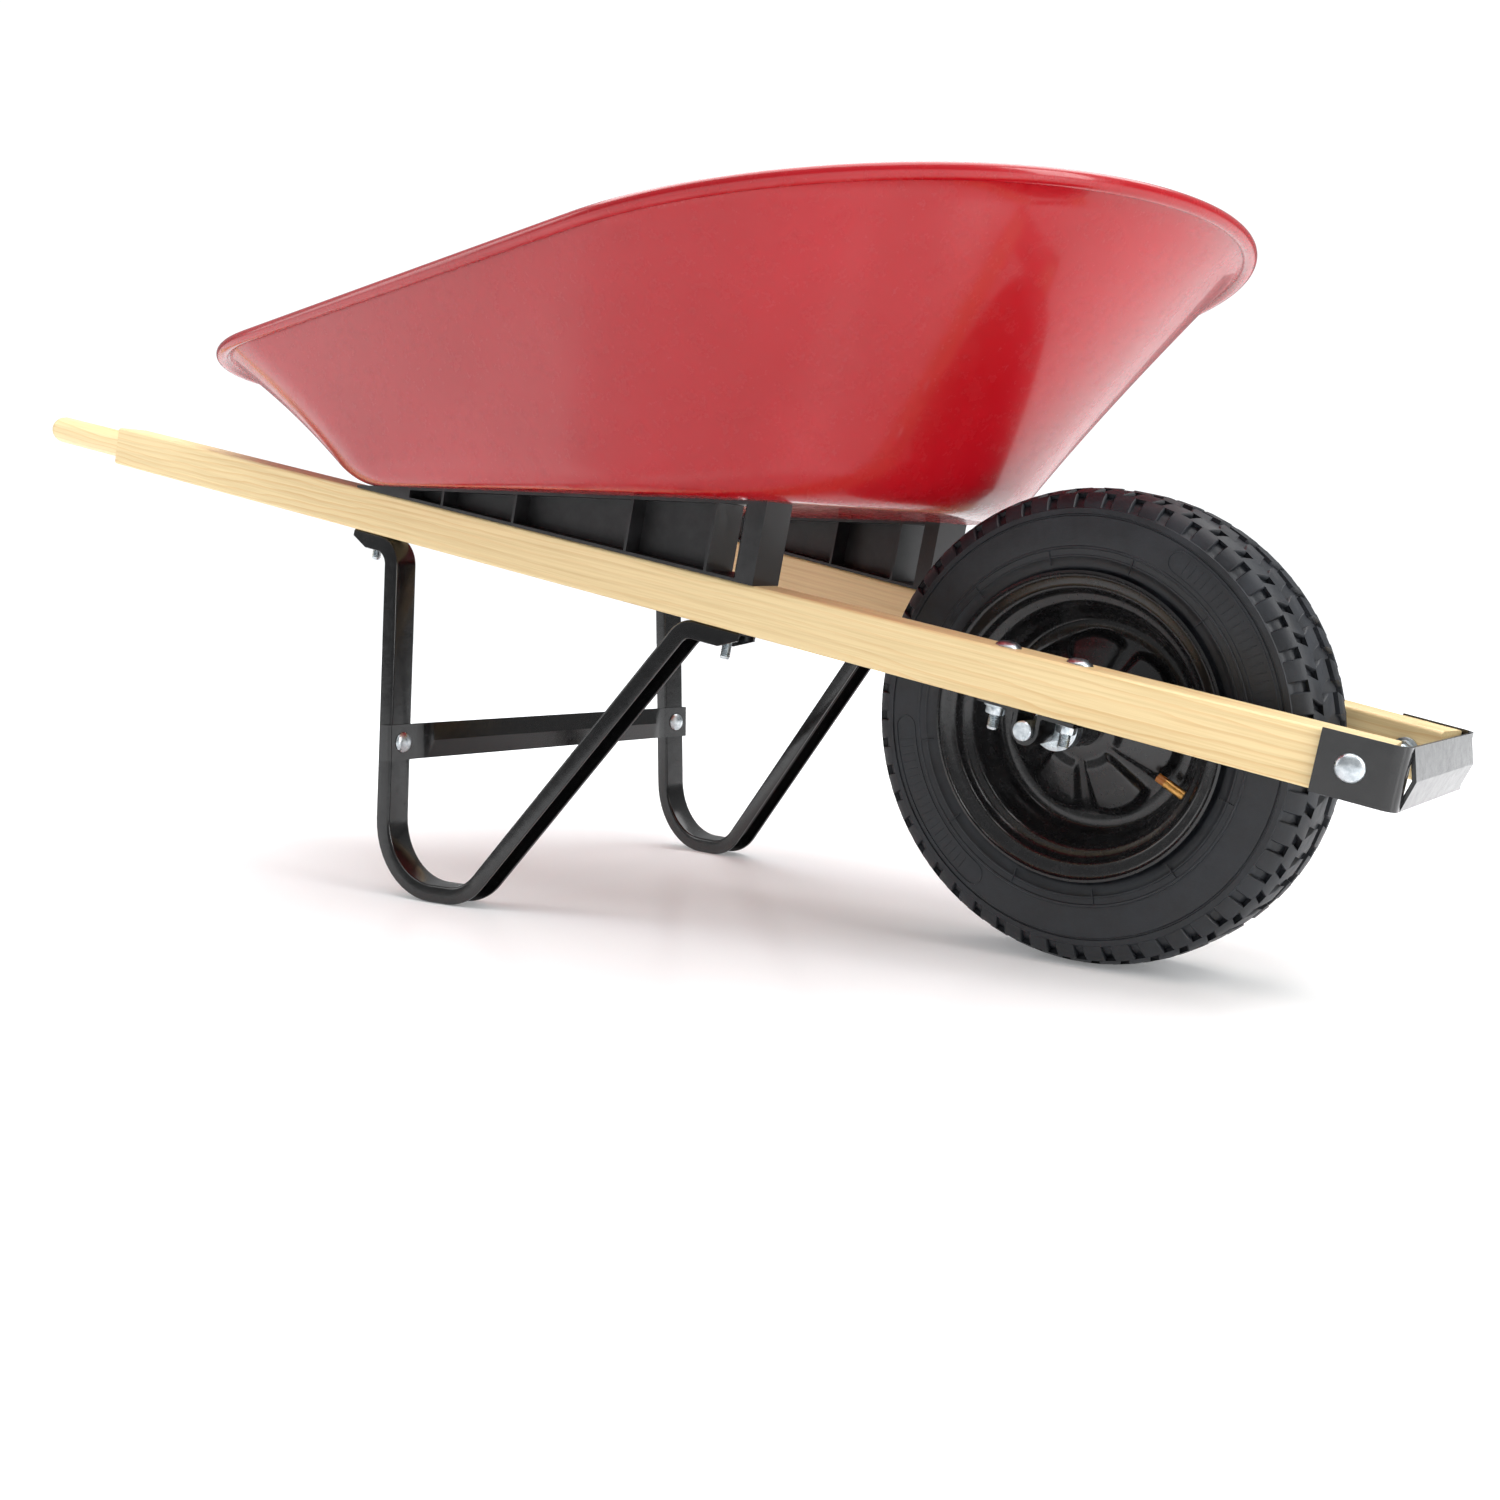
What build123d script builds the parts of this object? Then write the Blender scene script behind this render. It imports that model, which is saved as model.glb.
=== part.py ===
from build123d import *
import os
from math import atan, cos, hypot, pi, radians, sin

# A single-wheel contractor's wheelbarrow: a seamless steel tray on two wooden handles, tapered
# wedges under the tray, channel legs with a brace, a wheel guard and a pneumatic wheel.
# Lengths are millimetres. +X points to the wheel, +Y to the left handle, +Z up, and the floor is
# Z = 0. The shapes are drawn from the foot of the wheel, under its axle, and moved at export so
# that the origin is under the middle of the whole barrow.

# ---- driving dimensions ----
tyre_diameter = 400.0
tyre_width = 93.0
axle_diameter = 16.0
axle_length = 264.0
hub_length = 152.0

handle_width = 40.0
handle_height = 44.0
handle_slope = 0.2237          # fall toward the wheel, mm per mm of run
handle_spread = 0.1336         # sideways spread toward the grips, mm per mm of run
handle_axis_at_axle = 113.0    # half the spacing of the handle centre lines above the axle
handle_clear_of_axle = 16.2    # handle underside above the axle centre
wood_front = 262.0             # along the handle, from above the axle
wood_shoulder = -1193.0
grip_end = -1343.0
grip_radius = 16.0

floor_sheet = 1.2
wedge_front = -263.0           # along the handle
wedge_rear = -766.0
wedge_width = 44.0
wedge_ribs = [-642, -546, -406, -315]
wedge_solid_end = -690         # the thin rear end is solid up to here
wedge_front_wall = 18
tray_floor_slope = -0.076      # the floor rises toward the grips
tray_floor_at_axle = 371.4     # height of the floor's underside, carried forward to the axle
rim_slope = 0.039
rim_height_at_axle = 604.0     # centre of the rolled bead
bead_radius = 6.5

front_tray_bolt = -291.5       # along the handle
rear_tray_bolt = -746.0
bracket_bolt_pitch = 60.0
guard_bolt = 238.0
bolt_radius = 4.75
bolt_hole_radius = 5.1

leg_width = 31.5
leg_depth = 12.4
leg_sheet = 3.0
leg_splay = 0.8                # degrees, feet outward
brace_height = 37.0
brace_bolt_height = 157.0

running_gap = 0.05

# ---- frames that the pieces share ----
axle_height = tyre_diameter / 2
handle_foot = axle_height + handle_clear_of_axle
side_angle = atan(handle_spread)
handle_origin = (0, handle_axis_at_axle, handle_foot)
deck_normal = (handle_slope, 0, 1)
# left handle: X along it toward the wheel, Y across it, Z out of its top face
handle_frame = Plane(
    origin=handle_origin, x_dir=(1, -handle_spread, -handle_slope), z_dir=deck_normal
)
# the same slope, but square to the axle
deck_frame = Plane(origin=handle_origin, x_dir=(1, 0, -handle_slope), z_dir=deck_normal)
deck_middle = Plane(origin=(0, 0, handle_foot), x_dir=(1, 0, -handle_slope), z_dir=deck_normal)

guard_front = 272.0            # along the slope of the deck
guard_reach = guard_front / hypot(1, handle_slope)


def on_handle(x, y=0.0, z=0.0):
    """World position of a point given in the left handle's own frame."""
    return handle_frame.from_local_coords(Vector(x, y, z))



# ---- helpers ----
def left_and_right(piece):
    return [piece, mirror(piece, about=Plane.XZ)]


def run_points(points, radii, offset):
    """Corners and radii of a path moved sideways by offset, to its right."""
    moved = []
    new_radii = []
    last = len(points) - 1
    for i, (x, y) in enumerate(points):
        before = points[max(i - 1, 0)]
        after = points[min(i + 1, last)]
        into = Vector(x - before[0], y - before[1], 0)
        out = Vector(after[0] - x, after[1] - y, 0)
        if i == 0:
            into = out
        if i == last:
            out = into
        into = into.normalized()
        out = out.normalized()
        side_in = Vector(into.Y, -into.X, 0)
        side_out = Vector(out.Y, -out.X, 0)
        middle = (side_in + side_out).normalized()
        reach = offset / middle.dot(side_in)
        moved.append((x + middle.X * reach, y + middle.Y * reach))
        if 0 < i < last:
            turn = into.cross(out).Z
            new_radii.append(radii[i - 1] + (offset if turn > 0 else -offset))
    return moved, new_radii


def band(points, radii, near, far):
    """A strip between two offsets of one bent path, as a face."""
    near_points, near_radii = run_points(points, radii, near)
    far_points, far_radii = run_points(points, radii, far)
    near_path = FilletPolyline(*near_points, radius=near_radii)
    far_path = FilletPolyline(*far_points, radius=far_radii)
    ends = [Line(near_points[0], far_points[0]), Line(near_points[-1], far_points[-1])]
    return make_face(near_path.edges() + far_path.edges() + ends)


def sheet_ring(points, thickness):
    """A pressed sheet turned about the axle from (sideways, radius) points of one face."""
    back, _ = run_points(points, [0] * (len(points) - 2), thickness)
    outline = Polyline(*points, *reversed(back), close=True)
    section = Plane(origin=(0, 0, 0), x_dir=(0, 1, 0), z_dir=(1, 0, 0)) * make_face(outline)
    return Pos(0, 0, axle_height) * revolve(section, Axis.Y)


def ring(profile):
    """A face drawn in (sideways, radius) turned about the axle."""
    section = Plane(origin=(0, 0, 0), x_dir=(0, 1, 0), z_dir=(1, 0, 0)) * profile
    return Pos(0, 0, axle_height) * revolve(section, Axis.Y)


def carriage_bolt(length, radius=bolt_radius, head=10.5, rise=4.6):
    """Domed head above Z = 0, square neck and shank below it."""
    sphere = (head**2 + rise**2) / (2 * rise)
    dome = Pos(0, 0, rise - sphere) * Sphere(sphere) & Pos(0, 0, rise / 2) * Box(30, 30, rise)
    neck = Pos(0, 0, -2) * Box(radius * 1.5, radius * 1.5, 4)
    shank = Pos(0, 0, -length / 2) * Cylinder(radius, length)
    tip = shank.edges().filter_by(GeomType.CIRCLE).sort_by(Axis.Z)[0]
    return dome + neck + chamfer(tip, 1)


def hex_nut(across=14.3, height=8.0, radius=bolt_radius):
    """Nut under Z = 0, with its washer face on top."""
    body = extrude(RegularPolygon(across / 2, 6, major_radius=False), -height)
    rounded = body & Pos(0, 0, -height / 2) * Cylinder(across / 2 * 1.1, height)
    return rounded - Cylinder(radius + 0.1, 4 * height)


# ---- handles ----
def handle():
    length = wood_front - wood_shoulder
    middle = (wood_front + wood_shoulder) / 2
    beam = Pos(middle, 0, handle_height / 2) * Box(length, handle_width, handle_height)
    beam = fillet(beam.edges().filter_by(Axis.X), 3.5)
    shoulder = beam.faces().sort_by(Axis.X)[0]
    beam = chamfer(shoulder.edges(), 3)
    grip_length = wood_shoulder - grip_end + 10
    grip = Cylinder(grip_radius, grip_length)
    grip = fillet(grip.edges().sort_by(Axis.Z)[-1], grip_radius * 0.8)
    grip = Pos(grip_end + grip_length / 2, 0, handle_height / 2) * Rot(0, -90, 0) * grip
    wood = beam + grip
    upright = [(front_tray_bolt, 0), (rear_tray_bolt, 0)]
    upright += [(side * bracket_bolt_pitch / 2, 0) for side in (-1, 1)]
    for x, y in upright:
        wood -= Pos(x, y, handle_height / 2) * Cylinder(bolt_hole_radius, 2 * handle_height)
    wood -= Pos(guard_bolt, 0, handle_height / 2) * Rot(90, 0, 0) * Cylinder(
        bolt_hole_radius, 2 * handle_width
    )
    return handle_frame * wood


# ---- wedges between handles and tray ----
floor_plane = Plane(
    origin=(0, 0, tray_floor_at_axle),
    x_dir=(1, 0, tray_floor_slope),
    z_dir=(-tray_floor_slope, 0, 1),
)


def wedge():
    length = wedge_front - wedge_rear
    middle = (wedge_front + wedge_rear) / 2
    block = Pos(middle, 0, handle_height + 50) * Box(length, wedge_width, 100)
    block = split(handle_frame * block, bisect_by=floor_plane, keep=Keep.BOTTOM)
    skin = 3.0
    web = 4.0
    pocket_depth = (wedge_width - web) / 2
    under_skin = floor_plane.offset(-skin)
    bays = list(zip([wedge_solid_end] + wedge_ribs, wedge_ribs + [wedge_front - wedge_front_wall]))
    for rear, front in bays:
        x0 = rear + skin / 2
        x1 = front - skin / 2
        through = front > front_tray_bolt
        for side in (-1, 1):
            y = side * (web / 2 + pocket_depth / 2)
            depth = pocket_depth + 0.01
            if through:
                y = side * wedge_width / 4
                depth = wedge_width / 2
            pocket = Pos((x0 + x1) / 2, y, handle_height + skin + 50) * Box(x1 - x0, depth, 100)
            block -= split(handle_frame * pocket, bisect_by=under_skin, keep=Keep.BOTTOM)
    for x in (front_tray_bolt, rear_tray_bolt):
        block -= handle_frame * Pos(x, 0, handle_height) * Cylinder(bolt_hole_radius, 300)
    return block


# ---- tray ----
nose_turn = radians(35)


def tray_outline(nose, half, rear, nose_radius, rear_radius, taper):
    """Plan of the tray at one level: a broad nose, wide corners, tapered sides, rounded rear."""
    corner_radius = (half - nose_radius * sin(nose_turn)) / (1 - sin(nose_turn))
    nose_end = Vector(
        nose - nose_radius + nose_radius * cos(nose_turn), nose_radius * sin(nose_turn)
    )
    corner = Vector(
        nose - nose_radius + (nose_radius - corner_radius) * cos(nose_turn),
        (nose_radius - corner_radius) * sin(nose_turn),
    )
    side = corner + Vector(-sin(taper), cos(taper)) * corner_radius
    inward = Vector(sin(taper), -cos(taper))
    rear_x = rear + rear_radius
    rear_y = side.Y + ((rear_x - side.X) * sin(taper) - rear_radius) / cos(taper)
    rear_centre = Vector(rear_x, rear_y)
    side_end = rear_centre - inward * rear_radius
    mid_turn = (nose_turn + pi / 2 + taper) / 2
    corner_mid = corner + Vector(cos(mid_turn), sin(mid_turn)) * corner_radius
    rear_mid_turn = (pi + pi / 2 + taper) / 2
    rear_mid = rear_centre + Vector(cos(rear_mid_turn), sin(rear_mid_turn)) * rear_radius
    rear_end = Vector(rear, rear_y)

    def flip(v):
        return Vector(v.X, -v.Y)

    edges = [
        ThreePointArc(flip(nose_end), Vector(nose, 0), nose_end),
        ThreePointArc(nose_end, corner_mid, side),
        Line(side, side_end),
        ThreePointArc(side_end, rear_mid, rear_end),
        Line(rear_end, flip(rear_end)),
        ThreePointArc(flip(rear_end), flip(rear_mid), flip(side_end)),
        Line(flip(side_end), flip(side)),
        ThreePointArc(flip(side), flip(corner_mid), flip(nose_end)),
    ]
    return edges


# nose, half width, rear, nose radius, rear corner radius, side taper in radians
floor_plan = (-178.0, 246.0, -765.0, 330.0, 62.0, radians(1.5))
rim_plan = (105.5, 365.0, -992.0, 426.0, 215.0, radians(3.8))
wall_inside_bead = 5.6         # the wall meets the inner side of the bead
foot_curve = 0.12              # part of the wall's height that the curve at its foot takes


def tray_section(spread, level, inset, lift):
    """Plan at a level: spread and level run from 0 at the floor to 1 at the rim."""
    plan = [a + spread * (b - a) for a, b in zip(floor_plan, rim_plan)]
    nose, half, rear, nose_radius, rear_radius, taper = plan
    edges = tray_outline(
        nose - inset, half - inset, rear + inset, nose_radius - inset, rear_radius - inset, taper
    )
    height = tray_floor_at_axle + level * (rim_height_at_axle - tray_floor_at_axle) + lift
    slope = tray_floor_slope + level * (rim_slope - tray_floor_slope)
    plane = Plane(origin=(0, 0, height), x_dir=(1, 0, slope), z_dir=(-slope, 0, 1))
    return plane, edges


def tray_solid(thickness):
    """The space inside the tray's outer or inner face, filled up to the rim."""
    steps = 4
    faces = []
    for i in range(steps + 1):
        t = i / steps
        spread = -foot_curve * (1 - t) ** 2 + foot_curve * t**2
        inset = thickness + wall_inside_bead * foot_curve * t**2
        plane, edges = tray_section(spread, foot_curve * t**2, inset, thickness)
        faces.append(plane * make_face(edges))
    plane, edges = tray_section(1.0, 1.0, thickness + wall_inside_bead, thickness)
    faces.append(plane * make_face(edges))
    return loft(faces, ruled=True)


def tray():
    plane, edges = tray_section(1.0, 1.0, 0, 0)
    path = plane * Wire(edges)
    circle = Plane(origin=path @ 0, z_dir=path % 0) * Circle(bead_radius)
    bead = sweep(circle, path=path)
    pan = tray_solid(0) + bead - tray_solid(floor_sheet)
    for x in (front_tray_bolt, rear_tray_bolt):
        hole = handle_frame * Pos(x, 0, handle_height) * Cylinder(bolt_hole_radius, 250)
        for each in left_and_right(hole):
            pan -= each
    return pan


# ---- legs ----
# the leg's own plane: X forward along the handle's plan line, Y up
splay = radians(leg_splay)
along = Vector(cos(side_angle), -sin(side_angle), 0)
across = Vector(-sin(side_angle), -cos(side_angle), 0)
leg_normal = across * cos(splay) - Vector(0, 0, 1) * sin(splay)
leg_frame = Plane(origin=handle_origin, x_dir=along, z_dir=leg_normal)
handle_fall = handle_slope * cos(side_angle)
foot_level = -(handle_foot - leg_width / 2 * sin(splay)) / cos(splay) + leg_depth
leg_upright = -687.7
diagonal_foot = -598.0
diagonal_rise = 1.031


def under_handle(x):
    return (x, -handle_fall * x)


diagonal_top = -(foot_level - diagonal_rise * diagonal_foot) / (diagonal_rise + handle_fall)
leg_points = [
    under_handle(-747.6),
    under_handle(leg_upright),
    (leg_upright, foot_level),
    (diagonal_foot, foot_level),
    under_handle(diagonal_top),
    under_handle(-264.3),
]
leg_bends = [32.0, 62.0, 46.0, 28.0]


def leg():
    web = extrude(band(leg_points, leg_bends, 0, leg_sheet), leg_width / 2, both=True)
    flange = extrude(band(leg_points, leg_bends, 0, leg_depth), leg_sheet)
    flanges = [Pos(0, 0, z) * flange for z in (-leg_width / 2, leg_width / 2 - leg_sheet)]
    channel = leg_frame * (web + flanges)
    channel = split(channel, bisect_by=deck_middle, keep=Keep.BOTTOM)
    for x in (front_tray_bolt, rear_tray_bolt):
        channel -= handle_frame * Pos(x, 0, 0) * Cylinder(bolt_hole_radius, 40)
    channel -= brace_bolt_places()[0] * Cylinder(bolt_hole_radius, 40)
    return channel


def brace_bolt_places():
    """Frames on the front of the leg webs, Z forward, at the brace bolts."""
    level = (brace_bolt_height - handle_foot) / cos(splay)
    spot = leg_frame.from_local_coords(Vector(leg_upright, level, 0))
    left = Plane(origin=spot, x_dir=(0, 0, 1), z_dir=along)
    right = Plane(
        origin=(spot.X, -spot.Y, spot.Z), x_dir=(0, 0, 1), z_dir=(along.X, -along.Y, 0)
    )
    return [left, right]


def creased_strip(length, height, crease, thickness):
    """A strip along Y, flat at its edges and pushed forward along its middle line."""
    points = [(0, height / 2), (crease, 0), (0, -height / 2)]
    back, _ = run_points(points, [0], thickness)
    section = make_face(Polyline(*points, *reversed(back), close=True))
    upright = Plane(origin=(0, 0, 0), x_dir=(1, 0, 0), z_dir=(0, -1, 0))
    return extrude(upright * section, length / 2, both=True)


def brace_end():
    """The end of the brace that wraps the left leg, with its corner turned back along it."""
    spot = brace_bolt_places()[0].origin
    half_end = leg_width / 2 + 0.3
    run = Vector(along.X, along.Y, 0)
    sideways = Vector(sin(side_angle), cos(side_angle), 0)
    spot = spot + run * 0.15
    corner = spot + sideways * half_end
    inner = spot - sideways * (half_end + 3)
    tip = corner - run * 10
    thickness = 3.0
    bend = 3.4
    points = [(inner.X, 0), (inner.X, inner.Y), (corner.X, corner.Y), (tip.X, tip.Y)]
    end = band(points, [20.0, bend - thickness], 0, thickness)
    return Pos(0, 0, brace_bolt_height) * extrude(end, brace_height / 2, both=True)


def leg_brace():
    spot = brace_bolt_places()[0].origin
    end = brace_end()
    trim = spot.Y - leg_width / 2 - 16
    end -= Pos(spot.X, 0, brace_bolt_height) * Box(100, 2 * trim, 100)
    inner_x = end.faces().filter_by(Axis.Y).sort_by(Axis.Y)[0].center().X
    strip = creased_strip(2 * trim, brace_height, 4.0, 3.0)
    bar = Pos(inner_x + 1.5, 0, brace_bolt_height) * strip
    for each in left_and_right(end):
        bar += each
    for place in brace_bolt_places():
        bar -= place * Cylinder(bolt_hole_radius, 30)
    return bar


# ---- wheel guard: a strap round the handle ends ----
guard_sheet = 3.0
guard_height = 46.0
guard_rear = 218.0             # along the handle
guard_corner = 11.0


def wheel_guard():
    outer_half = handle_axis_at_axle + handle_width / 2 / cos(side_angle) + guard_sheet + 0.2
    front_half = outer_half - handle_spread * guard_reach
    rear_x = guard_rear * cos(side_angle)
    rear_half = outer_half - handle_spread * guard_rear / hypot(1, handle_slope, handle_spread)
    points = [(rear_x, rear_half), (guard_front, front_half)]
    points += [(x, -y) for x, y in reversed(points)]
    outline = band(points, [guard_corner, guard_corner], 0, guard_sheet)
    strap = extrude(outline, guard_height / 2, both=True)
    flat_half = front_half - 15
    strap -= Pos(guard_front, 0, 0) * Box(20, 2 * flat_half, 2 * guard_height)
    crease = creased_strip(2 * flat_half, guard_height, 6.0, guard_sheet)
    strap += Pos(guard_front, 0, 0) * crease
    strap = deck_middle * Pos(0, 0, handle_height / 2) * strap
    for place in guard_bolt_places():
        strap -= place * Cylinder(bolt_hole_radius, 30)
    return strap


def guard_bolt_places():
    """Frames on the outside of the guard, Z outward, at its two bolts."""
    spot = on_handle(guard_bolt, handle_width / 2 + guard_sheet + 0.2, handle_height / 2)
    out = handle_frame.y_dir
    slope = handle_frame.x_dir
    left = Plane(origin=spot, x_dir=slope, z_dir=out)
    right = Plane(
        origin=(spot.X, -spot.Y, spot.Z),
        x_dir=(slope.X, -slope.Y, slope.Z),
        z_dir=(out.X, -out.Y, out.Z),
    )
    return [left, right]


# ---- axle and its brackets ----
bracket_width = 28.0
bracket_flange = 3.5
axle_drop = handle_clear_of_axle * cos(atan(handle_slope))
axle_along = handle_clear_of_axle * sin(atan(handle_slope))


def axle_bracket():
    boss_radius = axle_diameter / 2 + 3.6
    length = bracket_bolt_pitch + 26
    flange = Pos(0, -bracket_flange / 2) * Rectangle(length, bracket_flange)
    saddle = Pos(axle_along, -axle_drop / 2) * Rectangle(2 * boss_radius, axle_drop)
    boss = Pos(axle_along, -axle_drop) * Circle(boss_radius)
    hole = Pos(axle_along, -axle_drop) * Circle(axle_diameter / 2 + 0.05)
    upright = Plane(origin=handle_origin, x_dir=deck_frame.x_dir, z_dir=(0, -1, 0))
    bracket = extrude(upright * (flange + saddle + boss - hole), bracket_width / 2, both=True)
    for side in (-1, 1):
        bracket -= handle_frame * Pos(side * bracket_bolt_pitch / 2, 0, 0) * Cylinder(
            bolt_hole_radius, 40
        )
    return bracket


def wheel_axle():
    shaft = Cylinder(axle_diameter / 2, axle_length)
    shaft = chamfer(shaft.edges(), 1)
    return Pos(0, 0, axle_height) * Rot(90, 0, 0) * shaft


bearing_face = hub_length / 2
bracket_inside = handle_axis_at_axle - bracket_width / 2


def axle_spacer():
    """Sleeve on the axle that keeps the wheel between the brackets."""
    inner = axle_diameter / 2 + running_gap
    width = bracket_inside - bearing_face - 1.0
    profile = Pos(bearing_face + 0.5 + width / 2, inner + 1.6) * Rectangle(width, 3.2)
    return ring(profile)


# ---- wheel ----
hub_radius = 18.0
hub_bore = 15.0
bearing_depth = 14.0
rim_sheet = 2.5
flange_radius = 127.0
seat_radius = 114.0


def hub():
    length = bearing_face - 2.5
    profile = Pos(0, (hub_radius + hub_bore) / 2) * Rectangle(2 * length, hub_radius - hub_bore)
    return ring(profile)


def bearing():
    inner = axle_diameter / 2 + running_gap
    face = bearing_face
    outline = Polyline(
        (face, inner),
        (face, 16.5),
        (face - 1.5, 19.6),
        (face - 12, 19.6),
        (face - 12, hub_radius + 0.05),
        (face - 2.4, hub_radius + 0.05),
        (face - 2.4, hub_bore - 0.05),
        (face - bearing_depth, hub_bore - 0.05),
        (face - bearing_depth, inner),
        close=True,
    )
    return ring(make_face(outline))


def rim_half():
    """One pressed half of the wheel, from the weld round the hub out to the tyre's flange."""
    points = [
        (26.0, hub_radius + 0.05),
        (22.0, 30.0),
        (8.0, 62.0),
        (0.05, 76.0),
        (0.05, 90.0),
        (14.0, 101.0),
        (26.0, 104.0),
        (31.0, seat_radius - 4),
        (41.0, seat_radius),
        (43.0, flange_radius - 4),
        (46.0, flange_radius),
    ]
    return sheet_ring(points, rim_sheet)


def tyre():
    half = tyre_width / 2
    outer = tyre_diameter / 2
    groove_depth = 5.0
    with BuildSketch() as profile:
        with BuildLine():
            Polyline((40, seat_radius + 1.2), (40.4, flange_radius + 4), (half - 4, flange_radius + 12))
            ThreePointArc((half - 4, flange_radius + 12), (half, outer - 38), (half - 5, outer - 17))
            ThreePointArc((half - 5, outer - 17), (half - 14, outer - 5.5), (half - 26, outer - 1.6))
            ThreePointArc((half - 26, outer - 1.6), (0, outer), (-half + 26, outer - 1.6))
            ThreePointArc((-half + 26, outer - 1.6), (-half + 14, outer - 5.5), (-half + 5, outer - 17))
            ThreePointArc((-half + 5, outer - 17), (-half, outer - 38), (-half + 4, flange_radius + 12))
            Polyline((-half + 4, flange_radius + 12), (-40.4, flange_radius + 4), (-40, seat_radius + 1.2))
            Polyline((-40, seat_radius + 1.2), (-31, seat_radius + 1.2), (-33, flange_radius + 2))
            ThreePointArc((-33, flange_radius + 2), (-half + 7, outer - 40), (-half + 15, outer - 20))
            ThreePointArc((-half + 15, outer - 20), (0, outer - 11), (half - 15, outer - 20))
            ThreePointArc((half - 15, outer - 20), (half - 7, outer - 40), (33, flange_radius + 2))
            Polyline((33, flange_radius + 2), (31, seat_radius + 1.2), (40, seat_radius + 1.2))
        make_face()
    body = ring(profile.sketch)
    for y in (-16, 16):
        groove = Pos(y, outer) * Rectangle(5, 2 * groove_depth)
        body -= ring(groove)
    return body


def inner_tube():
    centre = 152.0
    outside = Pos(0, centre) * Ellipse(30.0, 33.0)
    inside = Pos(0, centre) * Ellipse(28.0, 31.0)
    return ring(outside - inside)


valve_turn = -32.0             # degrees round the wheel from straight ahead


def valve_place():
    """Frame at the wheel rim, Z toward the axle, where the valve comes through."""
    angle = radians(valve_turn)
    out = Vector(cos(angle), 0, sin(angle))
    start = Vector(0, -20.0, axle_height) + out * 106.0
    return Plane(origin=start, x_dir=(0, 1, 0), z_dir=-out)


def valve_stem():
    base = Pos(0, 0, -4) * Cylinder(6.5, 5)
    shank = Pos(0, 0, 9) * Cylinder(4.2, 26)
    tip = Pos(0, 0, 24) * Cylinder(2.6, 6)
    return valve_place() * (base + shank + tip)


def valve_cap():
    body = Pos(0, 0, 26) * Cylinder(3.8, 7.8)
    bore = Pos(0, 0, 24.5) * Cylinder(2.7, 7)
    return valve_place() * (body - bore)


# ---- fasteners ----
def handle_bolts(x, top, length):
    bolt = handle_frame * Pos(x, 0, top) * carriage_bolt(length)
    return left_and_right(bolt)


def floor_top_above_handle(x):
    """Height of the tray's inner face above the handle's underside, along the handle's normal."""
    low = on_handle(x)
    normal = handle_frame.z_dir
    gap = tray_floor_at_axle + floor_sheet + tray_floor_slope * low.X - low.Z
    return gap / (normal.Z - tray_floor_slope * normal.X)


def tray_bolts(x, below):
    lift = 2.1
    top = floor_top_above_handle(x) + lift
    return handle_bolts(x, top, top + below)


def nuts_under_handle(places, top):
    nuts = []
    for x in places:
        nuts += left_and_right(handle_frame * Pos(x, 0, top) * hex_nut())
    return nuts


def bracket_bolts():
    bolts = []
    for side in (-1, 1):
        bolts += handle_bolts(side * bracket_bolt_pitch / 2, handle_height, handle_height + 24)
    return bolts


def guard_bolts():
    return [place * carriage_bolt(handle_width + 16) for place in guard_bolt_places()]


def guard_nuts():
    depth = -handle_width - guard_sheet - 0.3
    return [place * Pos(0, 0, depth) * hex_nut() for place in guard_bolt_places()]


def brace_bolts():
    return [place * Pos(0, 0, 4.5) * carriage_bolt(22) for place in brace_bolt_places()]


def brace_nuts():
    return [place * Pos(0, 0, -leg_sheet - 0.1) * hex_nut() for place in brace_bolt_places()]


# ---- the pieces ----
handle_left, handle_right = left_and_right(handle())
wedge_left, wedge_right = left_and_right(wedge())
leg_left, leg_right = left_and_right(leg())
axle_bracket_left, axle_bracket_right = left_and_right(axle_bracket())
rim_left, rim_right = left_and_right(rim_half())
rim_right -= valve_place() * Cylinder(6.6, 30)
bearing_left, bearing_right = left_and_right(bearing())

tab_underside = -leg_sheet - 0.5
parts = {
    "tray": tray(),
    "handle_left": handle_left,
    "handle_right": handle_right,
    "wedge_left": wedge_left,
    "wedge_right": wedge_right,
    "leg_left": leg_left,
    "leg_right": leg_right,
    "leg_brace": leg_brace(),
    "wheel_guard": wheel_guard(),
    "axle_bracket_left": axle_bracket_left,
    "axle_bracket_right": axle_bracket_right,
    "axle": wheel_axle(),
    "axle_spacers": left_and_right(axle_spacer()),
    "hub": hub(),
    "bearing_left": bearing_left,
    "bearing_right": bearing_right,
    "rim_left": rim_left,
    "rim_right": rim_right,
    "tyre": tyre(),
    "inner_tube": inner_tube(),
    "valve_stem": valve_stem(),
    "valve_cap": valve_cap(),
    "front_tray_bolts": tray_bolts(front_tray_bolt, 20),
    "rear_tray_bolts": tray_bolts(rear_tray_bolt, 20),
    "tray_nuts": nuts_under_handle([front_tray_bolt, rear_tray_bolt], tab_underside),
    "bracket_bolts": bracket_bolts(),
    "bracket_nuts": nuts_under_handle(
        [-bracket_bolt_pitch / 2, bracket_bolt_pitch / 2], -bracket_flange - 0.1
    ),
    "guard_bolts": guard_bolts(),
    "guard_nuts": guard_nuts(),
    "brace_bolts": brace_bolts(),
    "brace_nuts": brace_nuts(),
}

# the origin goes under the middle of the barrow, from the grip ends to the front of the guard
rear_end = handle_left.bounding_box().min.X
front_end = parts["wheel_guard"].bounding_box().max.X
to_origin = Pos(-(rear_end + front_end) / 2, 0, 0)
print("axle is at x =", round(to_origin.position.X, 3))

os.makedirs("parts", exist_ok=True)
for name, shape in parts.items():
    if isinstance(shape, list):
        shape = Compound(children=shape)
    export_step(to_origin * shape, f"parts/{name}.step")
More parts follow.
